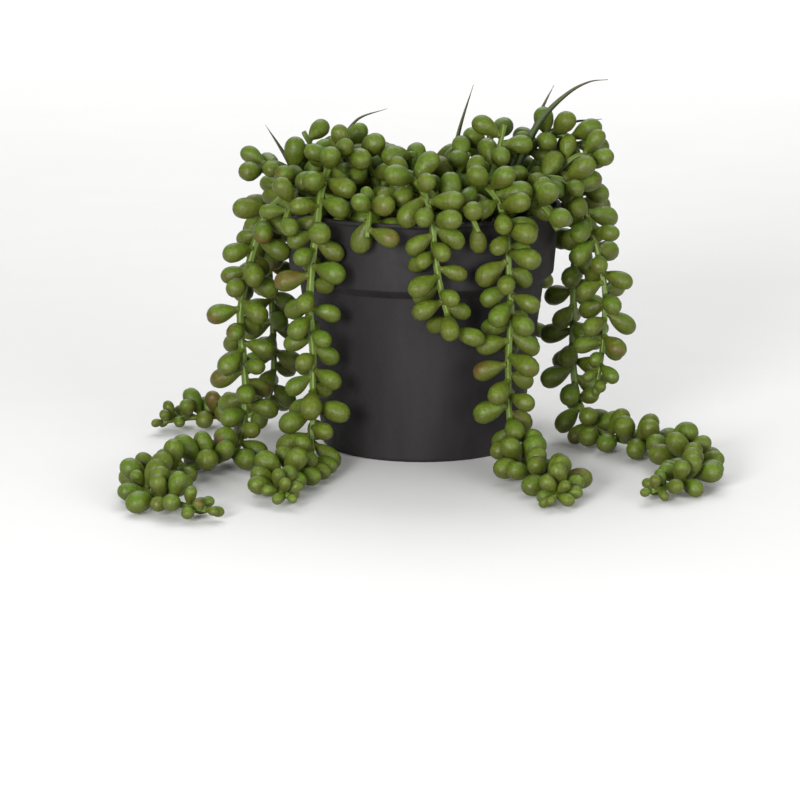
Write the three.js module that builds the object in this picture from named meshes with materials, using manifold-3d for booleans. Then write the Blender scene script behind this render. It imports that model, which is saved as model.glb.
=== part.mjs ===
// A potted string of pearls: a tapered pot with soil in it, and leafy strands that hang over its rim.
// Millimetres, +Z up, -Y is the front. The origin is the centre of the pot's underside.
// A strand longer than the pot is high comes down beside the pot and lies along the surface it stands on.

import * as THREE from "three";
import { mergeVertices } from "three/addons/utils/BufferGeometryUtils.js";
import Module from "manifold-3d";

const wasm = await Module();
wasm.setup();

// ---------------------------------------------------------------- driving dimensions

const POT = {
  height: 105,
  rimRadius: 60,
  baseRadius: 43,
  wall: 1.6,
  floor: 2,
  bandHeight: 29, // the deeper band under the lip
  bandTaper: 3, // how much the band narrows from lip to step
  stepHeight: 3.4, // the bevel between the band and the tapered wall
  stepDepth: 4.1,
  lipHeight: 1.5,
  lipProud: 0.6,
  edge: 1.2, // the small bevel round the underside
  sides: 40,
};
const SOIL = { top: 95, crown: 1.5, gap: 0.4, sides: 20 };
const STEM = { sides: 4, step: 8, embedded: 10, socketGap: 0.6, socketReach: 4, socketSides: 4 };
const LEAF = {
  length: 15,
  radius: 4.35,
  widest: 0.64, // where along its length a leaf is thickest
  sides: 4,
  size: { least: 0.84, range: 0.26 }, // shares of a full leaf
  crowdedSize: 0.78, // a leaf that finds no room is tried again at this share of its size
  lean: { least: 6, range: 26 }, // degrees towards the tip
  scatter: 0.6, // radians that a leaf's turn may differ from the golden angle
  spacing: 3.3,
  gap: { least: 0.8, range: 0.4 }, // shares of the spacing
  bare: 12, // stem without leaves above the soil
  rosette: 26, // the last stretch, where leaves get smaller
  tipSize: 0.5,
  lastSize: 0.45, // the one at the very tip
};
const BLADE = {
  sides: 4,
  step: 9,
  thickness: 0.35,
  turn: 60, // how far, in degrees, its flat side is turned to the front
  widestAt: 0.35, // share of its length
  taper: 1.6,
  tip: 0.06, // the tip's share of the full width
  tipThickness: 0.4, // the tip's share of the thickness
};
// The spheres that keep a stem's own room.
const STEM_ROOM = { start: 1, step: 2 };

// The room that growing leaves leave to what is round them.
const CLEAR = { own: 0.15, other: 0.55, floor: 0.25 };

const TURN = Math.PI * 2;
const GOLDEN_ANGLE = TURN * 0.381966;
const DEGREE = Math.PI / 180;

// ---------------------------------------------------------------- routes, chosen by hand

// Each strand leaves the soil at its first point. "end" is a rosette of small leaves or a bare cut.
const STRANDS = [
  {
    name: "strand_left_outer",
    radius: [1.95, 1.3],
    seed: 11,
    end: "rosette",
    points: [
      [-31, -13, 95], [-38, -17, 104], [-46, -21, 111], [-56, -25, 113], [-65, -28, 106], [-70, -30, 94],
      [-74, -31, 79], [-77, -32, 62], [-76, -33, 45], [-75, -35, 29], [-76, -39, 16], [-79, -48, 7],
      [-86, -61, 5], [-97, -74, 5.2], [-108, -88, 5], [-113, -105, 5.2], [-109, -122, 5], [-99, -136, 5],
      [-86, -146, 5],
    ],
  },
  {
    name: "strand_left_behind",
    radius: [1.75, 1.2],
    seed: 23,
    end: "rosette",
    points: [
      [-34, 7, 95], [-42, 11, 104], [-51, 14, 110], [-60, 16, 109], [-66, 17, 100], [-67, 17, 84],
      [-66, 17, 66], [-65, 17, 46], [-65, 18, 28], [-68, 21, 14], [-76, 25, 6], [-89, 27, 5],
      [-103, 24, 5], [-114, 16, 5],
    ],
  },
  {
    name: "strand_left_front",
    radius: [1.95, 1.3],
    seed: 37,
    end: "rosette",
    points: [
      [-14, -6, 95], [-17, -9, 107], [-22, -13, 120], [-30, -20, 129], [-38, -31, 127], [-42, -42, 117],
      [-44, -50, 103], [-46, -53, 87], [-47, -54, 70], [-46, -54, 52], [-46, -55, 34], [-46, -57, 18],
      [-47, -64, 8], [-50, -78, 5], [-57, -93, 5], [-60, -109, 5.2], [-54, -124, 5],
    ],
  },
  {
    name: "strand_centre",
    radius: [1.7, 1.3],
    seed: 41,
    end: "cut",
    points: [
      [-10, -30, 95], [-9, -35, 107], [-7, -42, 118], [-3, -52, 122], [1, -60, 117], [4, -65, 106],
      [5, -66, 94], [7, -66, 81], [10, -66, 69], [12, -65, 60],
    ],
  },
  {
    name: "strand_right_front",
    radius: [1.7, 1.15],
    seed: 59,
    end: "rosette",
    points: [
      [14, -22, 95], [16, -28, 107], [20, -36, 116], [26, -45, 119], [32, -52, 112], [35, -55, 99],
      [36, -56, 84], [37, -57, 67], [36, -57, 50], [36, -57, 33], [37, -59, 17], [39, -67, 7],
      [43, -81, 5], [51, -95, 5], [56, -111, 5.2], [52, -127, 5],
    ],
  },
  {
    name: "strand_right_short",
    radius: [1.65, 1.2],
    seed: 61,
    end: "rosette",
    points: [
      [34, -12, 95], [39, -13, 106], [47, -14, 115], [57, -16, 118], [66, -18, 112], [71, -19, 99],
      [75, -20, 85], [78, -21, 70], [78, -21, 56], [77, -22, 43], [75, -22, 30],
    ],
  },
  {
    name: "strand_right_outer",
    radius: [1.95, 1.3],
    seed: 79,
    end: "rosette",
    points: [
      [28, 8, 95], [33, 9, 108], [42, 10, 122], [53, 10, 132], [63, 10, 132], [68, 9, 121],
      [68, 8, 106], [67, 8, 89], [66, 8, 72], [66, 8, 54], [66, 7, 36], [68, 3, 19],
      [74, -7, 8], [84, -18, 5], [96, -31, 5], [106, -47, 5], [112, -65, 5.2], [112, -84, 5],
      [104, -101, 5], [92, -114, 5],
    ],
  },
  {
    name: "strand_back_left",
    radius: [1.6, 1.2],
    spacing: 4.8,
    seed: 83,
    end: "rosette",
    points: [
      [-16, 27, 95], [-21, 35, 106], [-28, 44, 115], [-36, 53, 116], [-41, 60, 106], [-42, 62, 91],
      [-41, 62, 75], [-40, 61, 58], [-40, 60, 42],
    ],
  },
  {
    name: "strand_back_middle",
    radius: [1.6, 1.2],
    spacing: 4.8,
    seed: 97,
    end: "rosette",
    points: [
      [2, 30, 95], [3, 40, 107], [4, 51, 114], [4, 62, 112], [4, 68, 101], [3, 69, 86],
      [2, 68, 70], [3, 67, 55],
    ],
  },
  {
    name: "strand_back_right",
    radius: [1.6, 1.2],
    spacing: 4.8,
    seed: 101,
    end: "rosette",
    points: [
      [19, 25, 95], [25, 32, 106], [33, 41, 115], [42, 50, 115], [47, 57, 104], [48, 59, 89],
      [47, 58, 73], [46, 57, 57], [46, 56, 40], [47, 55, 27],
    ],
  },
];

// The short stems of the crown, in the same form.
const SPRIG = { radius: [1.5, 1.15], end: "cut", spacing: 4.6, bare: 6 };
const SPRIGS = [
  {
    seed: 211,
    points: [[-41, -3, 95], [-47, -5, 107], [-54, -7, 118], [-64, -9, 124], [-71, -10, 118]],
  },
  { seed: 223, points: [[-33, 18, 95], [-39, 17, 108], [-45, 15, 122], [-51, 13, 134]] },
  { seed: 227, points: [[-22, 6, 95], [-25, 6, 108], [-30, 5, 121], [-37, 3, 133]] },
  { seed: 229, points: [[-8, 16, 95], [-12, 15, 106], [-18, 14, 115], [-26, 12, 122]] },
  {
    seed: 233,
    points: [[-27, -30, 95], [-36, -34, 105], [-46, -38, 112], [-54, -44, 111], [-59, -50, 102]],
  },
  {
    seed: 239,
    points: [[-17, -39, 95], [-19, -46, 106], [-21, -54, 111], [-22, -62, 109], [-23, -67, 101]],
  },
  { seed: 241, points: [[0, -14, 95], [-1, -17, 107], [-3, -20, 118], [-4, -21, 130]] },
  { seed: 251, points: [[10, -2, 95], [12, -4, 107], [15, -8, 118], [20, -12, 128]] },
  { seed: 257, points: [[4, -40, 95], [8, -47, 105], [13, -54, 111], [19, -61, 110], [23, -66, 103]] },
  { seed: 263, points: [[22, -6, 95], [26, -8, 108], [31, -10, 123], [35, -11, 140]] },
  { seed: 269, points: [[16, 12, 95], [20, 13, 108], [26, 13, 122], [31, 12, 137]] },
  { seed: 271, points: [[30, -30, 95], [37, -36, 105], [44, -43, 111], [51, -49, 110], [56, -54, 102]] },
  { seed: 277, points: [[43, -1, 95], [49, -2, 107], [57, -3, 118], [67, -3, 126], [76, -3, 124]] },
  { seed: 281, points: [[38, 20, 95], [43, 23, 108], [50, 26, 120], [57, 28, 128]] },
  { seed: 283, points: [[-4, 38, 95], [-6, 42, 107], [-10, 46, 115], [-15, 48, 122]] },
  { seed: 293, points: [[8, 22, 95], [9, 25, 108], [10, 28, 117], [13, 30, 124]] },
  { seed: 307, points: [[-25, 36, 95], [-32, 40, 106], [-41, 43, 115], [-50, 44, 120]] },
];

// Grass blades: half-width at the foot and at the widest place.
const BLADES = [
  { width: [1.1, 1.6], points: [[-45, 8, 95], [-51, 3, 110], [-59, 0, 126], [-67, -2, 139]] },
  {
    width: [1.1, 1.5],
    points: [[-24, 20, 95], [-30, 21, 112], [-34, 22, 127], [-28, 22, 138], [-15, 21, 143]],
  },
  { width: [1.1, 1.6], points: [[9, 7, 95], [12, 5, 115], [16, 2, 136], [22, 0, 156]] },
  {
    width: [1.4, 2.5],
    points: [
      [35, 2, 95], [38, 0, 112], [44, -3, 129], [52, -5, 143], [62, -6, 153], [71, -7, 158], [79, -7, 159],
    ],
  },
  { width: [1.2, 2.5], points: [[36, 14, 95], [41, 14, 116], [48, 14, 133], [52, 14, 144], [57, 14, 154]] },
  { width: [1.2, 2.3], points: [[25, 20, 95], [36, 20, 114], [50, 19, 129], [64, 18, 137], [78, 17, 139]] },
];

const COLOURS = {
  pot: { color: 0x37333a, roughness: 0.62 },
  soil: { color: 0x2b2019, roughness: 1 },
  leaf: { color: 0x6d8b33, roughness: 0.5 },
  blade: { color: 0x4c5a26, roughness: 0.6 },
};

// ---------------------------------------------------------------- solids

// A closed three.js geometry as a manifold solid.
function solidFrom(geometry) {
  const bare = geometry.clone();
  bare.deleteAttribute("normal");
  bare.deleteAttribute("uv");
  const merged = mergeVertices(bare, 1e-4);
  const corners = [...merged.index.array];
  const triVerts = [];
  for (let i = 0; i < corners.length; i += 3) {
    const [a, b, c] = corners.slice(i, i + 3);
    if (a !== b && b !== c && c !== a) triVerts.push(a, b, c);
  }
  const mesh = new wasm.Mesh({
    numProp: 3,
    vertProperties: merged.attributes.position.array,
    triVerts: new Uint32Array(triVerts),
  });
  return new wasm.Manifold(mesh);
}

function geometryFrom(solid) {
  const { vertProperties, triVerts } = solid.getMesh();
  const geometry = new THREE.BufferGeometry();
  geometry.setAttribute("position", new THREE.BufferAttribute(vertProperties, 3));
  geometry.setIndex(new THREE.BufferAttribute(triVerts, 1));
  geometry.computeVertexNormals();
  return geometry;
}

// A profile of [radius, height] points turned about the Z axis.
function turned(profile, sides) {
  const outline = profile.map(([radius, height]) => new THREE.Vector2(radius, height));
  return new THREE.LatheGeometry(outline, sides).rotateX(Math.PI / 2);
}

function meshOf(name, geometry, finish) {
  const material = new THREE.MeshStandardMaterial({ metalness: 0, ...finish });
  const mesh = new THREE.Mesh(geometry, material);
  mesh.name = name;
  return mesh;
}

// ---------------------------------------------------------------- pot and soil

function potProfile() {
  const { height, rimRadius, baseRadius, wall, floor, bandHeight, stepHeight, lipHeight } = POT;
  const bandTop = rimRadius - POT.lipProud;
  const bandBottom = bandTop - POT.bandTaper + POT.lipProud;
  const wallTop = bandBottom - POT.stepDepth;
  const step = height - bandHeight;
  const outer = [
    [baseRadius - POT.edge, 0],
    [baseRadius, POT.edge],
    [wallTop, step - stepHeight],
    [bandBottom, step],
    [bandTop, height - lipHeight - 0.4],
    [rimRadius, height - lipHeight],
    [rimRadius, height],
  ];
  const inner = [
    [bandTop - wall, height],
    [bandBottom - wall, step + 1],
    [wallTop - wall, step + 1 - stepHeight],
    [baseRadius - wall, floor],
  ];
  return { outer, inner };
}

function buildPot() {
  const { outer, inner } = potProfile();
  const profile = [[0, 0], ...outer, ...inner, [0, POT.floor]];
  return meshOf("pot", turned(profile, POT.sides), COLOURS.pot);
}

// The inner wall's radius at a height.
function innerRadiusAt(height) {
  const { inner } = potProfile();
  for (let i = 0; i < inner.length - 1; i += 1) {
    const [upper, lower] = [inner[i], inner[i + 1]];
    if (height >= lower[1]) {
      const share = (height - lower[1]) / (upper[1] - lower[1]);
      return lower[0] + share * (upper[0] - lower[0]);
    }
  }
  return inner.at(-1)[0];
}

// Soil that fills the pot up to its top, with a socket round each stem's foot.
function buildSoil(stems) {
  const inner = potProfile().inner.slice(1).reverse();
  const side = inner.map(([radius, height]) => [radius - SOIL.gap, height]);
  side[0][1] += SOIL.gap;
  const edge = innerRadiusAt(SOIL.top) - SOIL.gap;
  const profile = [[0, side[0][1]], ...side, [edge, SOIL.top - SOIL.crown], [0, SOIL.top]];
  let soil = solidFrom(turned(profile, SOIL.sides));
  for (const stem of stems) soil = soil.subtract(socketFor(stem));
  return meshOf("soil", geometryFrom(soil), COLOURS.soil);
}

function socketFor(stem) {
  const { foot, lean } = stem.route;
  const depth = STEM.embedded + STEM.socketGap;
  const height = depth + STEM.socketReach;
  const radius = (stem.radiusAt(0) + STEM.socketGap) / Math.cos(Math.PI / STEM.socketSides);
  const hole = new THREE.CylinderGeometry(radius, radius, height, STEM.socketSides);
  const turn = new THREE.Quaternion().setFromUnitVectors(new THREE.Vector3(0, 1, 0), lean);
  hole.applyQuaternion(turn);
  const middle = foot.clone().addScaledVector(lean, height / 2 - depth);
  return solidFrom(hole.translate(middle.x, middle.y, middle.z));
}

// ---------------------------------------------------------------- routes

// A smooth line through hand-chosen points, measured along its length, with a frame that doesn't twist.
// It starts under the soil: the buried stretch is straight, in line with the first span.
class Route {
  constructor(points) {
    const above = points.map((p) => new THREE.Vector3(...p));
    this.foot = above[0];
    this.lean = above[1].clone().sub(above[0]).normalize();
    const buried = this.foot.clone().addScaledVector(this.lean, -STEM.embedded);
    const curve = new THREE.CatmullRomCurve3([buried, ...above], false, "catmullrom", 0.5);
    const count = above.length * Route.SAMPLES;
    this.samples = [];
    this.distances = [0];
    for (let i = 0; i <= count; i += 1) this.samples.push(curve.getPoint(i / count));
    for (let i = 1; i <= count; i += 1) {
      const span = this.samples[i].distanceTo(this.samples[i - 1]);
      this.distances.push(this.distances[i - 1] + span);
    }
    this.length = this.distances[count];
    this.buried = this.distances[Route.SAMPLES];
    this.normals = this.carryNormals();
  }

  tangentOf(i) {
    const last = this.samples.length - 1;
    const ahead = this.samples[Math.min(i + 1, last)];
    const behind = this.samples[Math.max(i - 1, 0)];
    return ahead.clone().sub(behind).normalize();
  }

  carryNormals() {
    const normals = [];
    let normal = new THREE.Vector3(1, 0, 0);
    for (let i = 0; i < this.samples.length; i += 1) {
      const tangent = this.tangentOf(i);
      normal = normal.clone().addScaledVector(tangent, -normal.dot(tangent)).normalize();
      normals.push(normal);
    }
    return normals;
  }

  // The point, tangent, normal and side at a distance along the route.
  at(distance) {
    const last = this.samples.length - 1;
    let i = 0;
    while (i < last - 1 && this.distances[i + 1] < distance) i += 1;
    const share = (distance - this.distances[i]) / (this.distances[i + 1] - this.distances[i]);
    const point = this.samples[i].clone().lerp(this.samples[i + 1], share);
    const tangent = this.tangentOf(i).lerp(this.tangentOf(i + 1), share).normalize();
    const normal = this.normals[i].clone().lerp(this.normals[i + 1], share);
    normal.addScaledVector(tangent, -normal.dot(tangent)).normalize();
    return { point, tangent, normal, side: tangent.clone().cross(normal) };
  }
}
Route.SAMPLES = 16;

// A closed tapered rod along a route: a cylinder whose rings are carried along it.
// Its section is turned by an angle from the route's side towards its normal.
function sweptRod(route, step, sides, halfSize, turn = 0) {
  const rings = Math.ceil(route.length / step);
  const rod = new THREE.CylinderGeometry(1, 1, 1, sides, rings);
  const places = rod.attributes.position;
  for (let i = 0; i < places.count; i += 1) {
    const share = places.getY(i) + 0.5;
    const { point, normal, side } = route.at(share * route.length);
    const [across, deep] = halfSize(share);
    const [wide, thick] = [places.getX(i) * across, places.getZ(i) * deep];
    point.addScaledVector(side, wide * Math.cos(turn) - thick * Math.sin(turn));
    point.addScaledVector(normal, wide * Math.sin(turn) + thick * Math.cos(turn));
    places.setXYZ(i, point.x, point.y, point.z);
  }
  return rod;
}

// ---------------------------------------------------------------- growth

// A small repeatable source of numbers from 0 to 1.
function lehmer(seed) {
  let state = seed;
  return () => {
    state = (state * 16807) % 2147483647;
    return state / 2147483647;
  };
}

// Spheres that stand for what has grown so far.
class Room {
  constructor() {
    this.spheres = [];
    this.wall = potProfile();
  }

  add(owner, centre, radius) {
    this.spheres.push({ owner, centre, radius });
  }

  // The distance from a point, as [radius, height], to the pot's section.
  distanceToPot(radius, height) {
    const { outer, inner } = this.wall;
    const section = [...outer, ...inner];
    let nearest = Infinity;
    for (let i = 0; i < section.length - 1; i += 1) {
      const [[r0, z0], [r1, z1]] = [section[i], section[i + 1]];
      const [dr, dz] = [r1 - r0, z1 - z0];
      const along = ((radius - r0) * dr + (height - z0) * dz) / (dr * dr + dz * dz);
      const share = Math.min(1, Math.max(0, along));
      nearest = Math.min(nearest, Math.hypot(radius - r0 - share * dr, height - z0 - share * dz));
    }
    return nearest;
  }

  isFree(owner, centre, radius) {
    if (centre.z - radius < CLEAR.floor) return false;
    const out = Math.hypot(centre.x, centre.y);
    if (this.distanceToPot(out, centre.z) < radius + CLEAR.other) return false;
    const inside = out < innerRadiusAt(centre.z);
    if (inside && centre.z - radius < SOIL.top + CLEAR.other) return false;
    return this.spheres.every((other) => {
      const own = other.owner === owner;
      const room = radius + other.radius + (own ? CLEAR.own : CLEAR.other);
      return other.centre.distanceToSquared(centre) >= room * room;
    });
  }
}

// Where a leaf's body is, as [share of its length, share of its radius].
const LEAF_BODY = [[0.36, 0.5], [0.5, 0.86], [0.64, 1], [0.76, 0.92]];
// Other ways a leaf may point when its first way is taken, as [turn, lean] in degrees.
const WAYS = [
  [0, 0], [25, 0], [-25, 0], [50, 0], [-50, 0], [0, 25], [75, 0], [-75, 0], [40, 28], [-40, 28],
  [100, 0], [-100, 0], [130, 0], [-130, 0], [80, 28], [-80, 28], [160, 0], [180, 25],
];

function leafSpheres(leaf) {
  return LEAF_BODY.map(([along, wide]) => {
    const centre = leaf.base.clone().addScaledVector(leaf.direction, along * leaf.length);
    return { centre, radius: wide * leaf.radius };
  });
}

function directed(place, azimuth, lean) {
  const out = place.normal.clone().multiplyScalar(Math.cos(azimuth));
  out.addScaledVector(place.side, Math.sin(azimuth));
  return out.multiplyScalar(Math.cos(lean)).addScaledVector(place.tangent, Math.sin(lean)).normalize();
}

const sized = (size) => ({ length: LEAF.length * size, radius: LEAF.radius * size });

// One leaf on the stem, in the first way that is free, or null.
function placeLeaf(stem, distance, azimuth, lean, size, room) {
  const place = stem.route.at(distance);
  for (const [turn, tip] of WAYS) {
    const direction = directed(place, azimuth + turn * DEGREE, lean + tip * DEGREE);
    const leaf = { distance, base: place.point, direction, ...sized(size) };
    const body = leafSpheres(leaf);
    if (body.every(({ centre, radius }) => room.isFree(stem.name, centre, radius))) {
      body.forEach(({ centre, radius }) => room.add(stem.name, centre, radius));
      return leaf;
    }
  }
  return null;
}

// Leaves along a stem, each a golden angle on from the last, smaller towards a rosette at the tip.
function growLeaves(stem, room) {
  const random = lehmer(stem.seed);
  const leaves = [];
  const { length, buried } = stem.route;
  const rosette = stem.end === "rosette";
  let azimuth = random() * TURN;
  let distance = buried + stem.bare;
  while (distance < length - 1) {
    const near = Math.min(1, (length - distance) / LEAF.rosette);
    const shrink = rosette ? LEAF.tipSize + (1 - LEAF.tipSize) * near : 1;
    const size = shrink * (LEAF.size.least + LEAF.size.range * random());
    const lean = (LEAF.lean.least + LEAF.lean.range * random()) * DEGREE;
    azimuth += GOLDEN_ANGLE + (random() - 0.5) * LEAF.scatter;
    const leaf = placeLeaf(stem, distance, azimuth, lean, size, room)
      ?? placeLeaf(stem, distance, azimuth, lean, size * LEAF.crowdedSize, room);
    if (leaf) leaves.push(leaf);
    distance += stem.spacing * shrink * (LEAF.gap.least + LEAF.gap.range * random());
  }
  if (rosette) {
    const end = stem.route.at(length - 1);
    const last = { distance: length - 1, base: end.point, direction: end.tangent };
    leaves.push({ ...last, ...sized(LEAF.lastSize) });
  }
  return leaves;
}

// The axis of the faceted stem, which cuts straight across from ring to ring.
function facetedAxisAt(route, distance) {
  const span = route.length / Math.ceil(route.length / STEM.step);
  const ring = Math.min(Math.floor(distance / span), Math.round(route.length / span) - 1);
  const [before, after] = [route.at(ring * span), route.at((ring + 1) * span)];
  return before.point.lerp(after.point, distance / span - ring);
}

// A leaf as a low solid of revolution, its neck starting on the stem's axis.
function leafSolid(stem, leaf) {
  const root = facetedAxisAt(stem.route, leaf.distance);
  const along = leaf.base.clone().addScaledVector(leaf.direction, leaf.length).sub(root);
  const length = along.length();
  const outline = [[0, 0], [leaf.radius, LEAF.widest * length], [0, length]];
  const body = new THREE.LatheGeometry(outline.map(([x, y]) => new THREE.Vector2(x, y)), LEAF.sides);
  const upright = new THREE.Vector3(0, 1, 0);
  body.applyQuaternion(new THREE.Quaternion().setFromUnitVectors(upright, along.normalize()));
  return solidFrom(body.translate(root.x, root.y, root.z));
}

// ---------------------------------------------------------------- assembly

function stemFrom({ name, radius, seed, end, points, spacing = LEAF.spacing, bare = LEAF.bare }) {
  const radiusAt = (share) => radius[0] + (radius[1] - radius[0]) * share;
  return { name, seed, end, spacing, bare, radiusAt, route: new Route(points) };
}

function stemSolid(stem) {
  const halfSize = (share) => [stem.radiusAt(share), stem.radiusAt(share)];
  return solidFrom(sweptRod(stem.route, STEM.step, STEM.sides, halfSize));
}

function occupy(stem, room) {
  const { route, name, radiusAt } = stem;
  for (let d = route.buried + STEM_ROOM.start; d < route.length; d += STEM_ROOM.step) {
    room.add(name, route.at(d).point, radiusAt(d / route.length));
  }
}

// A blade widens from its foot, then narrows to a fine tip.
function bladeHalfSize([foot, widest], share) {
  const swell = Math.sin(Math.min(1, share / BLADE.widestAt) * Math.PI / 2);
  const beyond = Math.max(0, (share - BLADE.widestAt) / (1 - BLADE.widestAt));
  const fade = Math.max(BLADE.tip, 1 - beyond ** BLADE.taper);
  const thin = BLADE.tipThickness + (1 - BLADE.tipThickness) * fade;
  return [(foot + (widest - foot) * swell) * fade, BLADE.thickness * thin];
}

const twoDigits = (i) => String(i + 1).padStart(2, "0");

const strands = STRANDS.map(stemFrom);
const sprigs = SPRIGS.map((sprig, i) =>
  stemFrom({ ...SPRIG, ...sprig, name: `sprig_${twoDigits(i)}` }));
const blades = BLADES.map(({ width, points }, i) => ({
  name: `blade_${twoDigits(i)}`,
  width,
  route: new Route(points),
  radiusAt: () => width[0],
}));

const plant = new THREE.Group();
plant.add(buildPot());
plant.add(buildSoil([...strands, ...sprigs, ...blades]));

const room = new Room();
for (const stem of [...strands, ...sprigs, ...blades]) occupy(stem, room);

for (const stem of [...strands, ...sprigs]) {
  const leaves = growLeaves(stem, room).map((leaf) => leafSolid(stem, leaf));
  const grown = leaves.reduce((whole, leaf) => whole.add(leaf), stemSolid(stem));
  plant.add(meshOf(stem.name, geometryFrom(grown), COLOURS.leaf));
}

for (const blade of blades) {
  const halfSize = (share) => bladeHalfSize(blade.width, share);
  const rod = sweptRod(blade.route, BLADE.step, BLADE.sides, halfSize, BLADE.turn * DEGREE);
  plant.add(meshOf(blade.name, geometryFrom(solidFrom(rod)), COLOURS.blade));
}

export default plant;
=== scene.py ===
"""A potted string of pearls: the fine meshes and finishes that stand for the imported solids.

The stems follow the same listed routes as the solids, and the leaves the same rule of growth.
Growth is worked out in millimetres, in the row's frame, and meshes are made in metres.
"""

import logging
import math
from collections.abc import Callable
from dataclasses import dataclass, field
from enum import Enum

import bmesh
import bpy
import numpy as np
from mathutils import Matrix, Vector


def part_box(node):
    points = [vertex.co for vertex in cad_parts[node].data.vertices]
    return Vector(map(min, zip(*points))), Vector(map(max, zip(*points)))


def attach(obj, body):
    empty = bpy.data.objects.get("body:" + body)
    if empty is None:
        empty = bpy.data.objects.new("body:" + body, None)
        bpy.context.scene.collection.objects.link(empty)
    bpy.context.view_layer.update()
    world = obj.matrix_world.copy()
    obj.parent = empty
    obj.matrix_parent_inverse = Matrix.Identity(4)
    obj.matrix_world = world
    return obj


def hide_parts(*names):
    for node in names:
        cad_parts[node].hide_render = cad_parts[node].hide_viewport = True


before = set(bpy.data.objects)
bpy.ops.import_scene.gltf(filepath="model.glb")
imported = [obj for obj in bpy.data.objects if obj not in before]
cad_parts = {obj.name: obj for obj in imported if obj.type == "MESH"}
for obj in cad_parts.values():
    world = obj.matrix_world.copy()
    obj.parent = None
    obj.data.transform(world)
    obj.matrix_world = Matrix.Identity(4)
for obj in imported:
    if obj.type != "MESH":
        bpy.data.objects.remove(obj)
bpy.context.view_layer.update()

LOG = logging.getLogger("pearls")
MM = 0.001
TURN = 2 * math.pi
GOLDEN_ANGLE = TURN * 0.381966

Point = tuple[float, float, float]
Colour = tuple[float, float, float]
HalfSize = Callable[[float], tuple[float, float]]


# ------------------------------------------------------------------ shader helpers


class Sketch:
    """Adds nodes to a tree and joins them, with less to read than the plain calls."""

    def __init__(self, tree: bpy.types.NodeTree) -> None:
        """Keeps the tree.

        Args:
            tree: The material's or group's node tree.
        """
        self.tree = tree

    def node(self, kind: str, **values: object) -> bpy.types.Node:
        """Adds a node and sets its properties and sockets.

        Args:
            kind: The node's type name, without its ShaderNode prefix.
            values: Properties by name, or sockets by number or by name, with underscores for spaces. A
                socket of another node is joined, and anything else is set.

        Returns:
            The new node.
        """
        made = self.tree.nodes.new("ShaderNode" + kind)
        for name, value in values.items():
            if hasattr(made, name):
                setattr(made, name, value)
                continue
            key = int(name[1:]) if name[1:].isdigit() else name.replace("_", " ")
            self.feed(made.inputs[key], value)
        return made

    def feed(self, socket: bpy.types.NodeSocket, value: object) -> None:
        """Joins a socket to another, or sets its value.

        Args:
            socket: The input.
            value: An output socket, a number or a colour.
        """
        if isinstance(value, bpy.types.NodeSocket):
            self.tree.links.new(value, socket)
        else:
            socket.default_value = value

    def math(
        self, operation: str, a: object, b: object = 0.0, clamp: bool = False
    ) -> bpy.types.NodeSocket:
        """Adds a Math node.

        Args:
            operation: Its operation.
            a: The first value or socket.
            b: The second value or socket.
            clamp: Whether the result is kept from 0 to 1.

        Returns:
            The result's socket.
        """
        return self.node("Math", operation=operation, use_clamp=clamp, _0=a, _1=b).outputs[0]

    def step(self, value: object, low: float, high: float) -> bpy.types.NodeSocket:
        """A smooth mask that rises from 0 at low to 1 at high.

        Args:
            value: The socket to read.
            low: Where the mask starts.
            high: Where it is full.

        Returns:
            The mask's socket.
        """
        made = self.node("MapRange", interpolation_type="SMOOTHSTEP", Value=value)
        made.inputs["From Min"].default_value = low
        made.inputs["From Max"].default_value = high
        return made.outputs["Result"]

    def mix(self, mask: object, a: object, b: object) -> bpy.types.NodeSocket:
        """Mixes two colours.

        Args:
            mask: How much of the second, from 0 to 1.
            a: The first colour or socket.
            b: The second colour or socket.

        Returns:
            The colour's socket.
        """
        made = self.node("Mix", data_type="RGBA")
        self.feed(made.inputs[0], mask)
        self.feed(made.inputs[6], a)
        self.feed(made.inputs[7], b)
        return made.outputs[2]


@dataclass(frozen=True)
class Effect:
    """A shader node group that several materials share.

    Attributes:
        name: The group's name.
        inputs: Its number inputs, by name.
        output: Its one output's name.
    """

    name: str
    inputs: tuple[tuple[str, float], ...]
    output: str

    def tree(self) -> bpy.types.NodeTree:
        """Returns the group's tree, made on first use."""
        found = bpy.data.node_groups.get(self.name)
        if found:
            return found
        made = bpy.data.node_groups.new(self.name, "ShaderNodeTree")
        for name, value in self.inputs:
            socket = made.interface.new_socket(name, in_out="INPUT", socket_type="NodeSocketFloat")
            socket.default_value = value
        made.interface.new_socket(self.output, in_out="OUTPUT", socket_type="NodeSocketFloat")
        sketch = Sketch(made)
        entry = made.nodes.new("NodeGroupInput")
        result = self.draw(sketch, {name: entry.outputs[name] for name, _ in self.inputs})
        made.links.new(result, made.nodes.new("NodeGroupOutput").inputs[self.output])
        return made

    def draw(self, sketch: Sketch, given: dict[str, bpy.types.NodeSocket]) -> bpy.types.NodeSocket:
        """Draws the effect.

        Args:
            sketch: The group's tree.
            given: The group's inputs by name.

        Returns:
            The socket that the group puts out.
        """
        raise NotImplementedError

    def place(self, sketch: Sketch, **values: object) -> bpy.types.NodeSocket:
        """Places the group in a material.

        Args:
            sketch: The material's tree.
            values: The group's inputs, with underscores for spaces.

        Returns:
            The group's output there.
        """
        made = sketch.tree.nodes.new("ShaderNodeGroup")
        made.node_tree = self.tree()
        for name, value in values.items():
            sketch.feed(made.inputs[name.replace("_", " ")], value)
        return made.outputs[self.output]


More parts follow.
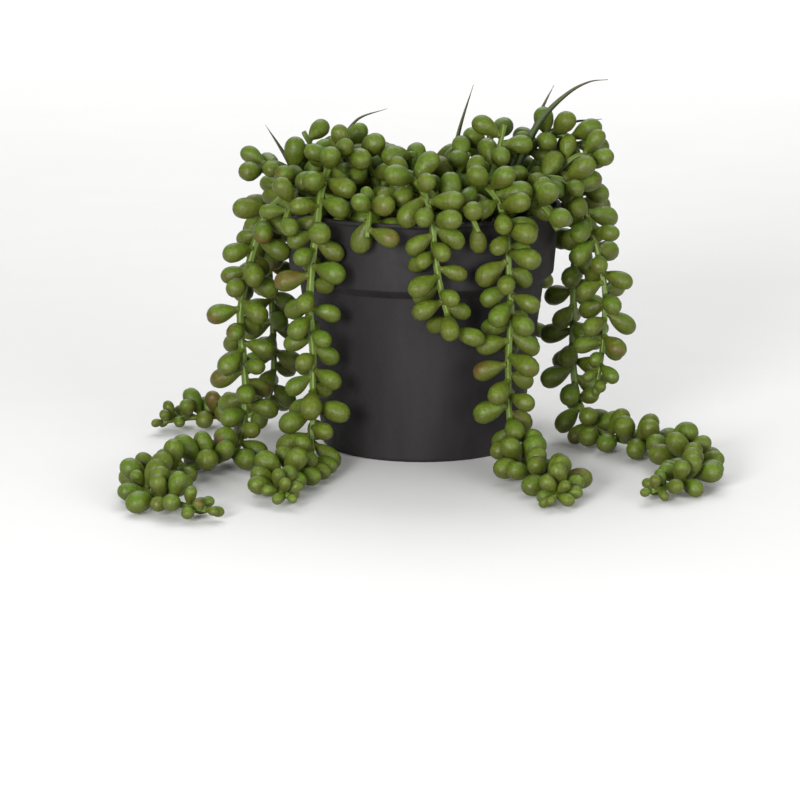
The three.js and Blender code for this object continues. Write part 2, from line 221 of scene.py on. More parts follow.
class Mottling(Effect):
    """Soft patches, as in dyed plastic: a mask from 0 to 1."""

    def __init__(self) -> None:
        """Names the group and its inputs."""
        super().__init__("Mottling", (("Scale", 200.0), ("Softness", 0.2), ("Amount", 1.0)), "Mask")

    def draw(self, sketch: Sketch, given: dict[str, bpy.types.NodeSocket]) -> bpy.types.NodeSocket:
        """Draws two scales of noise. See Effect.draw."""
        place = sketch.node("TexCoord").outputs["Object"]
        broad = sketch.node("TexNoise", Vector=place, Scale=given["Scale"], Detail=3.0, Roughness=0.6)
        fine_scale = sketch.math("MULTIPLY", given["Scale"], 5.3)
        fine = sketch.node("TexNoise", Vector=place, Scale=fine_scale, Detail=2.0)
        both = sketch.math("ADD", sketch.math("MULTIPLY", broad.outputs[0], 0.7),
                           sketch.math("MULTIPLY", fine.outputs[0], 0.3))
        low = sketch.math("SUBTRACT", 0.5, given["Softness"])
        high = sketch.math("ADD", 0.5, given["Softness"])
        ramp = sketch.node("MapRange", interpolation_type="SMOOTHSTEP", Value=both)
        sketch.feed(ramp.inputs["From Min"], low)
        sketch.feed(ramp.inputs["From Max"], high)
        return sketch.math("MULTIPLY", ramp.outputs["Result"], given["Amount"])


class MouldGrain(Effect):
    """The fine skin of a moulded surface: a height from 0 to 1."""

    def __init__(self) -> None:
        """Names the group and its inputs."""
        super().__init__("MouldGrain", (("Scale", 2500.0), ("Waviness", 0.3)), "Height")

    def draw(self, sketch: Sketch, given: dict[str, bpy.types.NodeSocket]) -> bpy.types.NodeSocket:
        """Draws fine pits over slow waves. See Effect.draw."""
        place = sketch.node("TexCoord").outputs["Object"]
        pits = sketch.node("TexNoise", Vector=place, Scale=given["Scale"], Detail=2.0, Roughness=0.55)
        slow = sketch.math("MULTIPLY", given["Scale"], 0.11)
        waves = sketch.node("TexNoise", Vector=place, Scale=slow, Detail=1.0)
        wavy = sketch.math("MULTIPLY", waves.outputs[0], given["Waviness"])
        return sketch.math("ADD", pits.outputs[0], wavy)


class UpwardPatches(Effect):
    """What faces up, broken into patches: a mask from 0 to 1."""

    def __init__(self) -> None:
        """Names the group and its inputs."""
        super().__init__("UpwardPatches", (("Amount", 0.2), ("Patch Scale", 90.0)), "Mask")

    def draw(self, sketch: Sketch, given: dict[str, bpy.types.NodeSocket]) -> bpy.types.NodeSocket:
        """Draws a mask from the surface's tilt and noise. See Effect.draw."""
        normal = sketch.node("NewGeometry").outputs["Normal"]
        upward = sketch.node("SeparateXYZ", Vector=normal).outputs["Z"]
        place = sketch.node("TexCoord").outputs["Object"]
        patches = sketch.node("TexNoise", Vector=place, Scale=given["Patch Scale"], Detail=4.0)
        broken = sketch.step(patches.outputs[0], 0.3, 0.75)
        mask = sketch.math("MULTIPLY", sketch.step(upward, 0.2, 0.95), broken)
        return sketch.math("MULTIPLY", mask, given["Amount"])


MOTTLING = Mottling()
MOULD_GRAIN = MouldGrain()
UPWARD_PATCHES = UpwardPatches()


# ------------------------------------------------------------------ finishes


def opaque(colour: Colour) -> tuple[float, float, float, float]:
    """Returns the colour with full alpha."""
    return (*colour, 1.0)


@dataclass(frozen=True)
class Finish:
    """What every finish has.

    Attributes:
        name: The material's name.
        roughness: The range of roughness over the surface.
        grain: The fine grain's scale, per metre.
        relief: How deep the grain is, in metres.
    """

    name: str
    roughness: tuple[float, float]
    grain: float
    relief: float

    def material(self) -> bpy.types.Material:
        """Returns the finished material, made on first use."""
        found = bpy.data.materials.get(self.name)
        if found:
            return found
        made = bpy.data.materials.new(self.name)
        made.use_nodes = True
        sketch = Sketch(made.node_tree)
        shader = made.node_tree.nodes["Principled BSDF"]
        sketch.feed(shader.inputs["Base Color"], self.colour(sketch))
        uneven = MOTTLING.place(sketch, Scale=self.grain * 0.15, Softness=0.25)
        low, high = self.roughness
        spread = sketch.math("MULTIPLY_ADD", uneven, high - low)
        sketch.feed(spread.node.inputs[2], low)
        sketch.feed(shader.inputs["Roughness"], spread)
        bump = sketch.node("Bump", Height=self.height(sketch), Strength=1.0, Distance=self.relief)
        sketch.feed(shader.inputs["Normal"], bump.outputs[0])
        self.tune(shader)
        return made

    def colour(self, sketch: Sketch) -> bpy.types.NodeSocket:
        """Draws the colour and returns its socket.

        Args:
            sketch: The material's tree.

        Returns:
            The colour's socket.
        """
        raise NotImplementedError

    def height(self, sketch: Sketch) -> bpy.types.NodeSocket:
        """Returns the bump's height. See colour."""
        return MOULD_GRAIN.place(sketch, Scale=self.grain)

    def tune(self, shader: bpy.types.Node) -> None:
        """Sets what is the same all over the surface, on the shader's own sockets.

        Args:
            shader: The Principled BSDF.
        """


@dataclass(frozen=True)
class LeafFinish(Finish):
    """Soft moulded green plastic, a little different from leaf to leaf, with painted shade in olive-brown on
    the underside and at the neck and painted top light in pale patches.

    Attributes:
        olive: The duller leaves.
        apple: The fresher leaves.
        light: The paler patches, and the painted top light.
        shade: The painted shade of the underside and the neck, and the colour of the specks.
        blush: The red-brown tint of some leaves.
        dent_scale: The dents' scale, per metre.
        dent_depth: How much deeper a dent is than the grain.
    """

    olive: Colour = (0.092, 0.120, 0.008)
    apple: Colour = (0.072, 0.152, 0.007)
    light: Colour = (0.142, 0.232, 0.022)
    shade: Colour = (0.054, 0.045, 0.010)
    blush: Colour = (0.105, 0.052, 0.014)
    dent_scale: float = 330.0
    dent_depth: float = 5.5

    def colour(self, sketch: Sketch) -> bpy.types.NodeSocket:
        """Draws the leaf's own tone, patches, specks and blush, the painted shade underneath and at the neck,
        and the painted top light. See Finish.colour.
        """
        place = sketch.node("Attribute", attribute_name=LeafMesh.ATTRIBUTE).outputs["Vector"]
        above, tone, flush = sketch.node("SeparateXYZ", Vector=place).outputs
        body = sketch.mix(tone, opaque(self.olive), opaque(self.apple))
        patches = MOTTLING.place(sketch, Scale=190.0, Softness=0.09, Amount=0.60)
        body = sketch.mix(patches, body, opaque(self.light))
        stipple = MOTTLING.place(sketch, Scale=400.0, Softness=0.08, Amount=0.55)
        body = sketch.mix(stipple, body, opaque(self.olive))
        ragged = MOTTLING.place(sketch, Scale=210.0, Softness=0.20)
        # Painted shade: what faces down, and the neck, gets the dark olive-brown colour.
        uneven = sketch.math("SUBTRACT", above, sketch.math("MULTIPLY", ragged, 0.25))
        under = sketch.math("SUBTRACT", 1.0, sketch.step(uneven, -0.35, 0.45))
        body = sketch.mix(sketch.math("MULTIPLY", under, 0.55), body, opaque(self.shade))
        reach = sketch.step(sketch.math("ADD", flush, sketch.math("MULTIPLY", ragged, 0.45)), 0.62, 1.15)
        body = sketch.mix(sketch.math("MULTIPLY", reach, 0.75), body, opaque(self.blush))
        specks = MOTTLING.place(sketch, Scale=950.0, Softness=0.06, Amount=0.26)
        body = sketch.mix(specks, body, opaque(self.shade))
        # Painted top light: patches of the paler green on what faces up.
        lighter_top = UPWARD_PATCHES.place(sketch, Amount=0.08)
        return sketch.mix(lighter_top, body, opaque(self.light))

    def height(self, sketch: Sketch) -> bpy.types.NodeSocket:
        """Returns the bump's height: shallow dents under the grain. See Finish.height."""
        place = sketch.node("TexCoord").outputs["Object"]
        dents = sketch.node("TexNoise", Vector=place, Scale=self.dent_scale, Detail=2.0, Roughness=0.55)
        grain = MOULD_GRAIN.place(sketch, Scale=self.grain)
        return sketch.math("ADD", sketch.math("MULTIPLY", dents.outputs[0], self.dent_depth), grain)

    def tune(self, shader: bpy.types.Node) -> None:
        """Lets a little light through the skin. See Finish.tune."""
        shader.inputs["Subsurface Weight"].default_value = 0.08
        shader.inputs["Subsurface Radius"].default_value = (0.6, 1.0, 0.2)
        shader.inputs["Subsurface Scale"].default_value = 0.001
        shader.inputs["Specular IOR Level"].default_value = 0.30


@dataclass(frozen=True)
class StemFinish(Finish):
    """Ribbed green plastic, paler on the rib crests as a painted highlight that varies in patches, and brown
    in places.

    Attributes:
        green: The stem's own green.
        crest_highlight: The paler green of the rib crests, a painted highlight.
        brown: The brown that shows in the grooves and at the foot.
    """

    green: Colour = (0.078, 0.124, 0.012)
    crest_highlight: Colour = (0.165, 0.232, 0.030)
    brown: Colour = (0.070, 0.044, 0.014)

    def colour(self, sketch: Sketch) -> bpy.types.NodeSocket:
        """Draws the painted highlight on the rib crests, varied in patches, and brown stretches. See
        Finish.colour.
        """
        place = sketch.node("Attribute", attribute_name=RodMesh.ATTRIBUTE).outputs["Vector"]
        rib, along, tone = sketch.node("SeparateXYZ", Vector=place).outputs
        # Painted highlight: the rib crests are paler, more so in patches.
        highlight_patches = MOTTLING.place(sketch, Scale=140.0, Softness=0.14, Amount=0.6)
        highlight_strength = sketch.math("ADD", 0.35, highlight_patches)
        ridge = sketch.math("MULTIPLY", sketch.step(rib, 0.35, 0.95), highlight_strength)
        body = sketch.mix(ridge, opaque(self.green), opaque(self.crest_highlight))
        brown = MOTTLING.place(sketch, Scale=45.0, Softness=0.08, Amount=0.8)
        hollows = sketch.math("MULTIPLY", brown, sketch.math("SUBTRACT", 1.1, rib), clamp=True)
        foot = sketch.math("SUBTRACT", 1.0, sketch.step(along, 0.0, 0.22))
        toned = sketch.math("MULTIPLY", hollows, tone)
        most = sketch.math("MAXIMUM", toned, sketch.math("MULTIPLY", foot, 0.6))
        return sketch.mix(most, body, opaque(self.brown))


@dataclass(frozen=True)
class BladeFinish(Finish):
    """Dark ribbed grass, brown towards the tip.

    Attributes:
        green: The blade's green.
        pale: The paler ribs.
        dry: The dry tip.
    """

    green: Colour = (0.036, 0.056, 0.014)
    pale: Colour = (0.105, 0.140, 0.042)
    dry: Colour = (0.070, 0.060, 0.030)

    def colour(self, sketch: Sketch) -> bpy.types.NodeSocket:
        """Draws ribs and the drying tip. See Finish.colour."""
        place = sketch.node("Attribute", attribute_name=RodMesh.ATTRIBUTE).outputs["Vector"]
        rib, along, _ = sketch.node("SeparateXYZ", Vector=place).outputs
        body = sketch.mix(sketch.math("MULTIPLY", rib, 0.7), opaque(self.green), opaque(self.pale))
        patches = MOTTLING.place(sketch, Scale=160.0, Softness=0.2, Amount=0.4)
        body = sketch.mix(patches, body, opaque(self.green))
        return sketch.mix(sketch.step(along, 0.62, 1.0), body, opaque(self.dry))


@dataclass(frozen=True)
class PotFinish(Finish):
    """Charcoal moulded plastic with a faint flow of tone up the wall, light scuffs, and lighter patches on
    what faces up, which is its rim top.

    Attributes:
        dark: The deeper tone.
        pale: The lighter tone.
        scuff: The colour of the scuffs and of the lighter rim top.
    """

    dark: Colour = (0.0112, 0.0093, 0.0098)
    pale: Colour = (0.0168, 0.0144, 0.0152)
    scuff: Colour = (0.060, 0.056, 0.057)

    def colour(self, sketch: Sketch) -> bpy.types.NodeSocket:
        """Draws the flow streaks, the scuffs and the lighter rim top. See Finish.colour."""
        place = sketch.node("TexCoord").outputs["Object"]
        drawn = sketch.node("Mapping", Vector=place)
        drawn.inputs["Scale"].default_value = (1.0, 1.0, 0.12)
        streaks = sketch.node("TexNoise", Vector=drawn.outputs[0], Scale=75.0, Detail=4.0, Roughness=0.6)
        body = sketch.mix(sketch.step(streaks.outputs[0], 0.3, 0.7), opaque(self.dark), opaque(self.pale))
        clouds = MOTTLING.place(sketch, Scale=28.0, Softness=0.3, Amount=0.35)
        body = sketch.mix(clouds, body, opaque(self.pale))
        scratch = sketch.node("Mapping", Vector=place)
        scratch.inputs["Scale"].default_value = (1.0, 1.0, 9.0)
        lines = sketch.node("TexNoise", Vector=scratch.outputs[0], Scale=210.0, Detail=6.0, Roughness=0.7)
        marks = sketch.math("MULTIPLY", sketch.step(lines.outputs[0], 0.66, 0.8), 0.35)
        body = sketch.mix(marks, body, opaque(self.scuff))
        # Lighter in patches on what faces up, which on the pot is its rim top.
        lighter_top = UPWARD_PATCHES.place(sketch, Amount=0.3)
        return sketch.mix(lighter_top, body, opaque(self.scuff))

    def tune(self, shader: bpy.types.Node) -> None:
        """Keeps the sheen low. See Finish.tune."""
        shader.inputs["Specular IOR Level"].default_value = 0.28


@dataclass(frozen=True)
class SoilFinish(Finish):
    """Dark crumbs of potting mix, some of them bark.

    Attributes:
        dark: Damp crumbs.
        bark: Brown flakes.
        pale: Dry fibres.
    """

    dark: Colour = (0.010, 0.0065, 0.0045)
    bark: Colour = (0.052, 0.029, 0.016)
    pale: Colour = (0.125, 0.090, 0.055)

    def colour(self, sketch: Sketch) -> bpy.types.NodeSocket:
        """Draws crumbs of three kinds. See Finish.colour."""
        place = sketch.node("TexCoord").outputs["Object"]
        cells = sketch.node("TexVoronoi", Vector=place, Scale=420.0)
        kind = sketch.node("SeparateXYZ", Vector=cells.outputs["Color"]).outputs["X"]
        body = sketch.mix(sketch.step(kind, 0.45, 0.8), opaque(self.dark), opaque(self.bark))
        body = sketch.mix(sketch.step(kind, 0.93, 0.97), body, opaque(self.pale))
        patches = MOTTLING.place(sketch, Scale=60.0, Softness=0.2, Amount=0.6)
        return sketch.mix(patches, body, opaque(self.dark))


@dataclass(frozen=True)
class FloorFinish(Finish):
    """A plain pale studio surface.

    Attributes:
        pale: Its colour.
        shade: The faint unevenness in it.
    """

    pale: Colour = (0.86, 0.86, 0.855)
    shade: Colour = (0.82, 0.82, 0.815)

    def colour(self, sketch: Sketch) -> bpy.types.NodeSocket:
        """Draws a faint unevenness. See Finish.colour."""
        patches = MOTTLING.place(sketch, Scale=3.0, Softness=0.4, Amount=1.0)
        return sketch.mix(patches, opaque(self.pale), opaque(self.shade))


LEAF_GREEN = LeafFinish("leaf_soft_green", roughness=(0.34, 0.52), grain=2200.0, relief=0.00009)
STEM_GREEN = StemFinish("stem_ribbed_green", roughness=(0.42, 0.62), grain=2200.0, relief=0.00008)
BLADE_OLIVE = BladeFinish("blade_dark_olive", roughness=(0.50, 0.68), grain=2400.0, relief=0.00005)
POT_CHARCOAL = PotFinish("pot_charcoal", roughness=(0.50, 0.66), grain=1900.0, relief=0.00005)
POTTING_MIX = SoilFinish("potting_mix", roughness=(0.80, 1.0), grain=1500.0, relief=0.0004)
STUDIO_PALE = FloorFinish("studio_pale", roughness=(0.75, 0.9), grain=800.0, relief=0.00002)


# ------------------------------------------------------------------ the pot's section, in millimetres


@dataclass(frozen=True)
class PotSizes:
    """The pot's sizes in millimetres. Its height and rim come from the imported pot."""

    height: float = round(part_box("pot")[1].z / MM, 3)
    rim_radius: float = round(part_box("pot")[1].x / MM, 3)
    base_radius: float = 43
    wall: float = 1.6
    floor: float = 2
    band_height: float = 29
    band_taper: float = 3
    step_height: float = 3.4
    step_depth: float = 4.1
    lip_height: float = 1.5
    lip_proud: float = 0.6
    edge: float = 1.2

    def outer(self) -> list[tuple[float, float]]:
        """Returns the outside of the section from the underside up, as (radius, height)."""
        band_top = self.rim_radius - self.lip_proud
        band_bottom = band_top - self.band_taper + self.lip_proud
        step = self.height - self.band_height
        return [
            (self.base_radius - self.edge, 0),
            (self.base_radius, self.edge),
            (band_bottom - self.step_depth, step - self.step_height),
            (band_bottom, step),
            (band_top, self.height - self.lip_height - 0.4),
            (self.rim_radius, self.height - self.lip_height),
            (self.rim_radius, self.height),
        ]

    def inner(self) -> list[tuple[float, float]]:
        """Returns the inside of the section from the rim down, as (radius, height)."""
        band_top = self.rim_radius - self.lip_proud
        band_bottom = band_top - self.band_taper + self.lip_proud
        step = self.height - self.band_height + 1
        return [
            (band_top - self.wall, self.height),
            (band_bottom - self.wall, step),
            (band_bottom - self.step_depth - self.wall, step - self.step_height),
            (self.base_radius - self.wall, self.floor),
        ]

    def inner_radius_at(self, height: float) -> float:
        """Returns the inner wall's radius at a height."""
        inner = self.inner()
        for upper, lower in zip(inner, inner[1:]):
            if height >= lower[1]:
                share = (height - lower[1]) / (upper[1] - lower[1])
                return lower[0] + share * (upper[0] - lower[0])
        return inner[-1][0]


POT = PotSizes()
SOIL_TOP = round(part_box("soil")[1].z / MM, 3)


# ------------------------------------------------------------------ routes and growth, in millimetres


EMBEDDED = 10
SAMPLES = 16


@dataclass(frozen=True)
class Place:
    """A place on a route: its point and three directions."""

    point: np.ndarray
    tangent: np.ndarray
    normal: np.ndarray

    @property
    def side(self) -> np.ndarray:
        """The direction square to both others."""
        return np.cross(self.tangent, self.normal)


def unit(vector: np.ndarray) -> np.ndarray:
    """Returns the vector at length 1."""
    return vector / np.linalg.norm(vector)


class Route:
    """A smooth line through given points, with a frame that doesn't twist. Its start is buried."""

    def __init__(self, points: list[Point]) -> None:
        """Samples the line and measures it.

        Args:
            points: The points from the soil's surface to the tip.
        """
        above = np.array(points, float)
        lean = unit(above[1] - above[0])
        knots = np.vstack([above[0] - EMBEDDED * lean, above])
        self.samples = self.smooth(knots)
        spans = np.linalg.norm(np.diff(self.samples, axis=0), axis=1)
        self.distances = np.concatenate([[0], np.cumsum(spans)])
        self.length = float(self.distances[-1])
        self.buried = float(self.distances[SAMPLES])
        ahead = np.vstack([self.samples[1:], self.samples[-1:]])
        behind = np.vstack([self.samples[:1], self.samples[:-1]])
        self.tangents = np.array([unit(v) for v in ahead - behind])
        self.normals = self.carry_normals()

    @staticmethod
    def smooth(knots: np.ndarray) -> np.ndarray:
        """Returns points on the uniform Catmull-Rom curve through the knots.

        Args:
            knots: The points it passes through.

        Returns:
            SAMPLES points a span, and the last knot.
        """
        first, last = 2 * knots[0] - knots[1], 2 * knots[-1] - knots[-2]
        padded = np.vstack([first, knots, last])
        share = (np.arange(SAMPLES) / SAMPLES)[:, None]
        spans = []
        for before, start, end, after in zip(padded, padded[1:], padded[2:], padded[3:]):
            leave, arrive = 0.5 * (end - before), 0.5 * (after - start)
            square = -3 * start + 3 * end - 2 * leave - arrive
            cube = 2 * start - 2 * end + leave + arrive
            spans.append(start + leave * share + square * share**2 + cube * share**3)
        return np.vstack([*spans, knots[-1:]])

    def carry_normals(self) -> np.ndarray:
        """Returns a normal at each sample, each the last one made square to the line."""
        normal, carried = np.array([1.0, 0.0, 0.0]), []
        for tangent in self.tangents:
            normal = unit(normal - normal.dot(tangent) * tangent)
            carried.append(normal)
        return np.array(carried)

    def at(self, distance: float) -> Place:
        """Returns the place at a distance along the route.

        Args:
            distance: Millimetres from its buried start.

        Returns:
            The place there.
        """
        i = int(np.clip(np.searchsorted(self.distances, distance) - 1, 0, len(self.samples) - 2))
        share = (distance - self.distances[i]) / (self.distances[i + 1] - self.distances[i])
        point = self.samples[i] + share * (self.samples[i + 1] - self.samples[i])
        tangent = unit(self.tangents[i] + share * (self.tangents[i + 1] - self.tangents[i]))
        normal = self.normals[i] + share * (self.normals[i + 1] - self.normals[i])
        return Place(point, tangent, unit(normal - normal.dot(tangent) * tangent))


class StemEnd(Enum):
    """How a stem ends."""

    ROSETTE = "rosette"
    CUT = "cut"


@dataclass
class Stem:
    """A stem that bears leaves.

    Attributes:
        name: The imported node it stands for.
        radius: Its radius at the foot and at the tip.
        seed: Where its leaves' numbers start.
        end: How it ends.
        points: Its route above the soil.
        spacing: The way from leaf to leaf.
        bare: How far above the soil the first leaf is.
    """

    name: str
    radius: tuple[float, float]
    seed: int
    end: StemEnd
    points: list[Point]
    spacing: float = 3.3
    bare: float = 12
    route: Route = field(init=False)

    def __post_init__(self) -> None:
        """Makes the route."""
        self.route = Route(self.points)

    def radius_at(self, share: float) -> float:
        """Returns the radius at a share of the route."""
        return self.radius[0] + (self.radius[1] - self.radius[0]) * share


@dataclass(frozen=True)
class Leaf:
    """A leaf on its stem: where its neck starts, where it points, and its size."""

    base: np.ndarray
    direction: np.ndarray
    length: float
    radius: float


class Lehmer:
    """A small repeatable source of numbers from 0 to 1."""

    def __init__(self, seed: int) -> None:
        """Keeps the seed.

        Args:
            seed: Any whole number above 0.
        """
        self.state = seed

    def __call__(self) -> float:
        """Returns the next number."""
        self.state = self.state * 16807 % 2147483647
        return self.state / 2147483647


class Room:
    """Spheres that stand for what has grown so far, and the pot, the soil and the surface under them."""

    OWN, OTHER, FLOOR = 0.15, 0.55, 0.25
    MOST = 8000

    def __init__(self) -> None:
        """Starts empty."""
        self.count = 0
        self.centres = np.zeros((self.MOST, 3))
        self.radii = np.zeros(self.MOST)
        self.owners = np.zeros(self.MOST, int)
        section = np.array(POT.outer() + POT.inner(), float)
        self.starts, self.ways = section[:-1], np.diff(section, axis=0)
        self.squares = (self.ways**2).sum(axis=1)

    def add(self, owner: int, centre: np.ndarray, radius: float) -> None:
        """Adds a sphere.

        Args:
            owner: The number of the stem it belongs to.
            centre: Its centre.
            radius: Its radius.
        """
        i = self.count
        self.centres[i], self.radii[i], self.owners[i] = centre, radius, owner
        self.count += 1

    def distance_to_pot(self, radius: float, height: float) -> float:
        """Returns the distance from a point to the pot's section."""
        gap = np.array([radius, height]) - self.starts
        share = np.clip((gap * self.ways).sum(axis=1) / self.squares, 0, 1)
        return float(np.linalg.norm(gap - share[:, None] * self.ways, axis=1).min())

    def is_free(self, owner: int, centre: np.ndarray, radius: float) -> bool:
        """Says whether a sphere fits.

        Args:
            owner: The number of the stem it belongs to.
            centre: Its centre.
            radius: Its radius.

        Returns:
            True if it clears everything.
        """
        if centre[2] - radius < self.FLOOR:
            return False
        out = math.hypot(centre[0], centre[1])
        if self.distance_to_pot(out, centre[2]) < radius + self.OTHER:
            return False
        if out < POT.inner_radius_at(centre[2]) and centre[2] - radius < SOIL_TOP + self.OTHER:
            return False
        n = self.count
        gaps = np.where(self.owners[:n] == owner, self.OWN, self.OTHER)
        room = radius + self.radii[:n] + gaps
        return bool((((self.centres[:n] - centre) ** 2).sum(axis=1) >= room**2).all())


@dataclass
class Growth:
    """The rule by which leaves are placed on the stems.

    Attributes:
        length: A full leaf's length, from the stem's axis.
        radius: A full leaf's radius.
        rosette: The last stretch of a strand, where leaves get smaller.
        tip_size: The share of a full leaf that they get down to.
        last_size: The share of the one at the very tip.
        crowded_size: The share at which a leaf that finds no room is tried again.
        scatter: How far, in radians, a leaf's turn may differ from the golden angle.
        body: Where a leaf's body is, as shares of its length and radius.
        ways: The turns and leans, in degrees, that a leaf tries.
        room: What has grown so far.
    """

    length: float = 15
    radius: float = 4.35
    rosette: float = 26
    tip_size: float = 0.5
    last_size: float = 0.45
    crowded_size: float = 0.78
    scatter: float = 0.6
    body: tuple[tuple[float, float], ...] = ((0.36, 0.5), (0.5, 0.86), (0.64, 1.0), (0.76, 0.92))
    ways: tuple[tuple[float, float], ...] = (
        (0, 0), (25, 0), (-25, 0), (50, 0), (-50, 0), (0, 25), (75, 0), (-75, 0), (40, 28), (-40, 28),
        (100, 0), (-100, 0), (130, 0), (-130, 0), (80, 28), (-80, 28), (160, 0), (180, 25),
    )
    room: Room = field(default_factory=Room)

    def occupy(self, owner: int, route: Route, radius_at: Callable[[float], float]) -> None:
        """Puts a stem into the room.

        Args:
            owner: Its number.
            route: Its route.
            radius_at: Gives its radius at a share of the route.
        """
        distance = route.buried + 1
        while distance < route.length:
            self.room.add(owner, route.at(distance).point, radius_at(distance / route.length))
            distance += 2

    def place(
        self, owner: int, stem: Stem, distance: float, azimuth: float, lean: float, size: float
    ) -> Leaf | None:
        """Places one leaf in the first way that is free.

        Args:
            owner: The stem's number.
            stem: The stem.
            distance: Where on its route the leaf is.
            azimuth: The leaf's turn about the stem.
            lean: How far it leans towards the tip.
            size: Its share of a full leaf.

        Returns:
            The leaf, or None.
        """
        place = stem.route.at(distance)
        length, radius = self.length * size, self.radius * size
        for turn, tip in self.ways:
            swing, pitch = azimuth + math.radians(turn), lean + math.radians(tip)
            out = math.cos(swing) * place.normal + math.sin(swing) * place.side
            direction = unit(math.cos(pitch) * out + math.sin(pitch) * place.tangent)
            spheres = [(place.point + along * length * direction, wide * radius)
                       for along, wide in self.body]
            if all(self.room.is_free(owner, centre, r) for centre, r in spheres):
                for centre, r in spheres:
                    self.room.add(owner, centre, r)
                return Leaf(place.point, direction, length, radius)
        return None

    def grow(self, owner: int, stem: Stem) -> list[Leaf]:
        """Grows a stem's leaves, each a golden angle on from the last.

        Args:
            owner: The stem's number.
            stem: The stem.

        Returns:
            Its leaves.
        """
        random, leaves, route = Lehmer(stem.seed), [], stem.route
        rosette = stem.end is StemEnd.ROSETTE
        azimuth = random() * TURN
        distance = route.buried + stem.bare
        while distance < route.length - 1:
            near = min(1.0, (route.length - distance) / self.rosette)
            shrink = self.tip_size + (1 - self.tip_size) * near if rosette else 1.0
            size = shrink * (0.84 + 0.26 * random())
            lean = math.radians(6 + 26 * random())
            azimuth += GOLDEN_ANGLE + (random() - 0.5) * self.scatter
            leaf = self.place(owner, stem, distance, azimuth, lean, size)
            if not leaf:
                leaf = self.place(owner, stem, distance, azimuth, lean, size * self.crowded_size)
            if leaf:
                leaves.append(leaf)
            distance += stem.spacing * shrink * (0.8 + 0.4 * random())
        if rosette:
            end = route.at(route.length - 1)
            length, radius = self.length * self.last_size, self.radius * self.last_size
            leaves.append(Leaf(end.point, end.tangent, length, radius))
        return leaves


# ------------------------------------------------------------------ meshes


class MeshSheet:
    """Collects points, faces and a value for each point, and makes one object of them."""

    def __init__(self) -> None:
        """Starts empty."""
        self.points: list[np.ndarray] = []
        self.values: list[np.ndarray] = []
        self.faces: list[tuple[int, ...]] = []
        self.count = 0

    def add(self, points: np.ndarray, faces: list[tuple[int, ...]], values: np.ndarray) -> None:
        """Adds a body.

        Args:
            points: Its points, in millimetres.
            faces: Its faces, by its own point numbers.
            values: Three numbers for each point.
        """
        self.faces.extend(tuple(i + self.count for i in face) for face in faces)
        self.points.append(points)
        self.values.append(values)
        self.count += len(points)

    def make(self, name: str, attribute: str, material: bpy.types.Material) -> bpy.types.Object:
        """Makes the object, smooth shaded, with the values as a named attribute.

        Args:
            name: The object's name.
            attribute: The attribute's name.
            material: Its material.

        Returns:
            The object.
        """
        mesh = bpy.data.meshes.new(name)
        mesh.from_pydata(np.vstack(self.points) * MM, [], self.faces)
        held = mesh.attributes.new(attribute, "FLOAT_VECTOR", "POINT")
        held.data.foreach_set("vector", np.vstack(self.values).astype(np.float32).ravel())
        mesh.shade_smooth()
        mesh.materials.append(material)
        mesh.update()
        made = bpy.data.objects.new(name, mesh)
        bpy.context.scene.collection.objects.link(made)
        return made


def tube_faces(rings: int, sides: int) -> list[tuple[int, ...]]:
    """Returns the faces of a closed tube of rings, its two ends closed by single faces.

    Args:
        rings: How many rings it has.
        sides: How many points are in each ring.

    Returns:
        The faces, outwards where the rings turn right-handed along the tube.
    """
    faces: list[tuple[int, ...]] = [tuple(range(sides))[::-1]]
    for ring in range(rings - 1):
        for i in range(sides):
            a, b = ring * sides + i, ring * sides + (i + 1) % sides
            faces.append((a, b, b + sides, a + sides))
    faces.append(tuple(range((rings - 1) * sides, rings * sides)))
    return faces


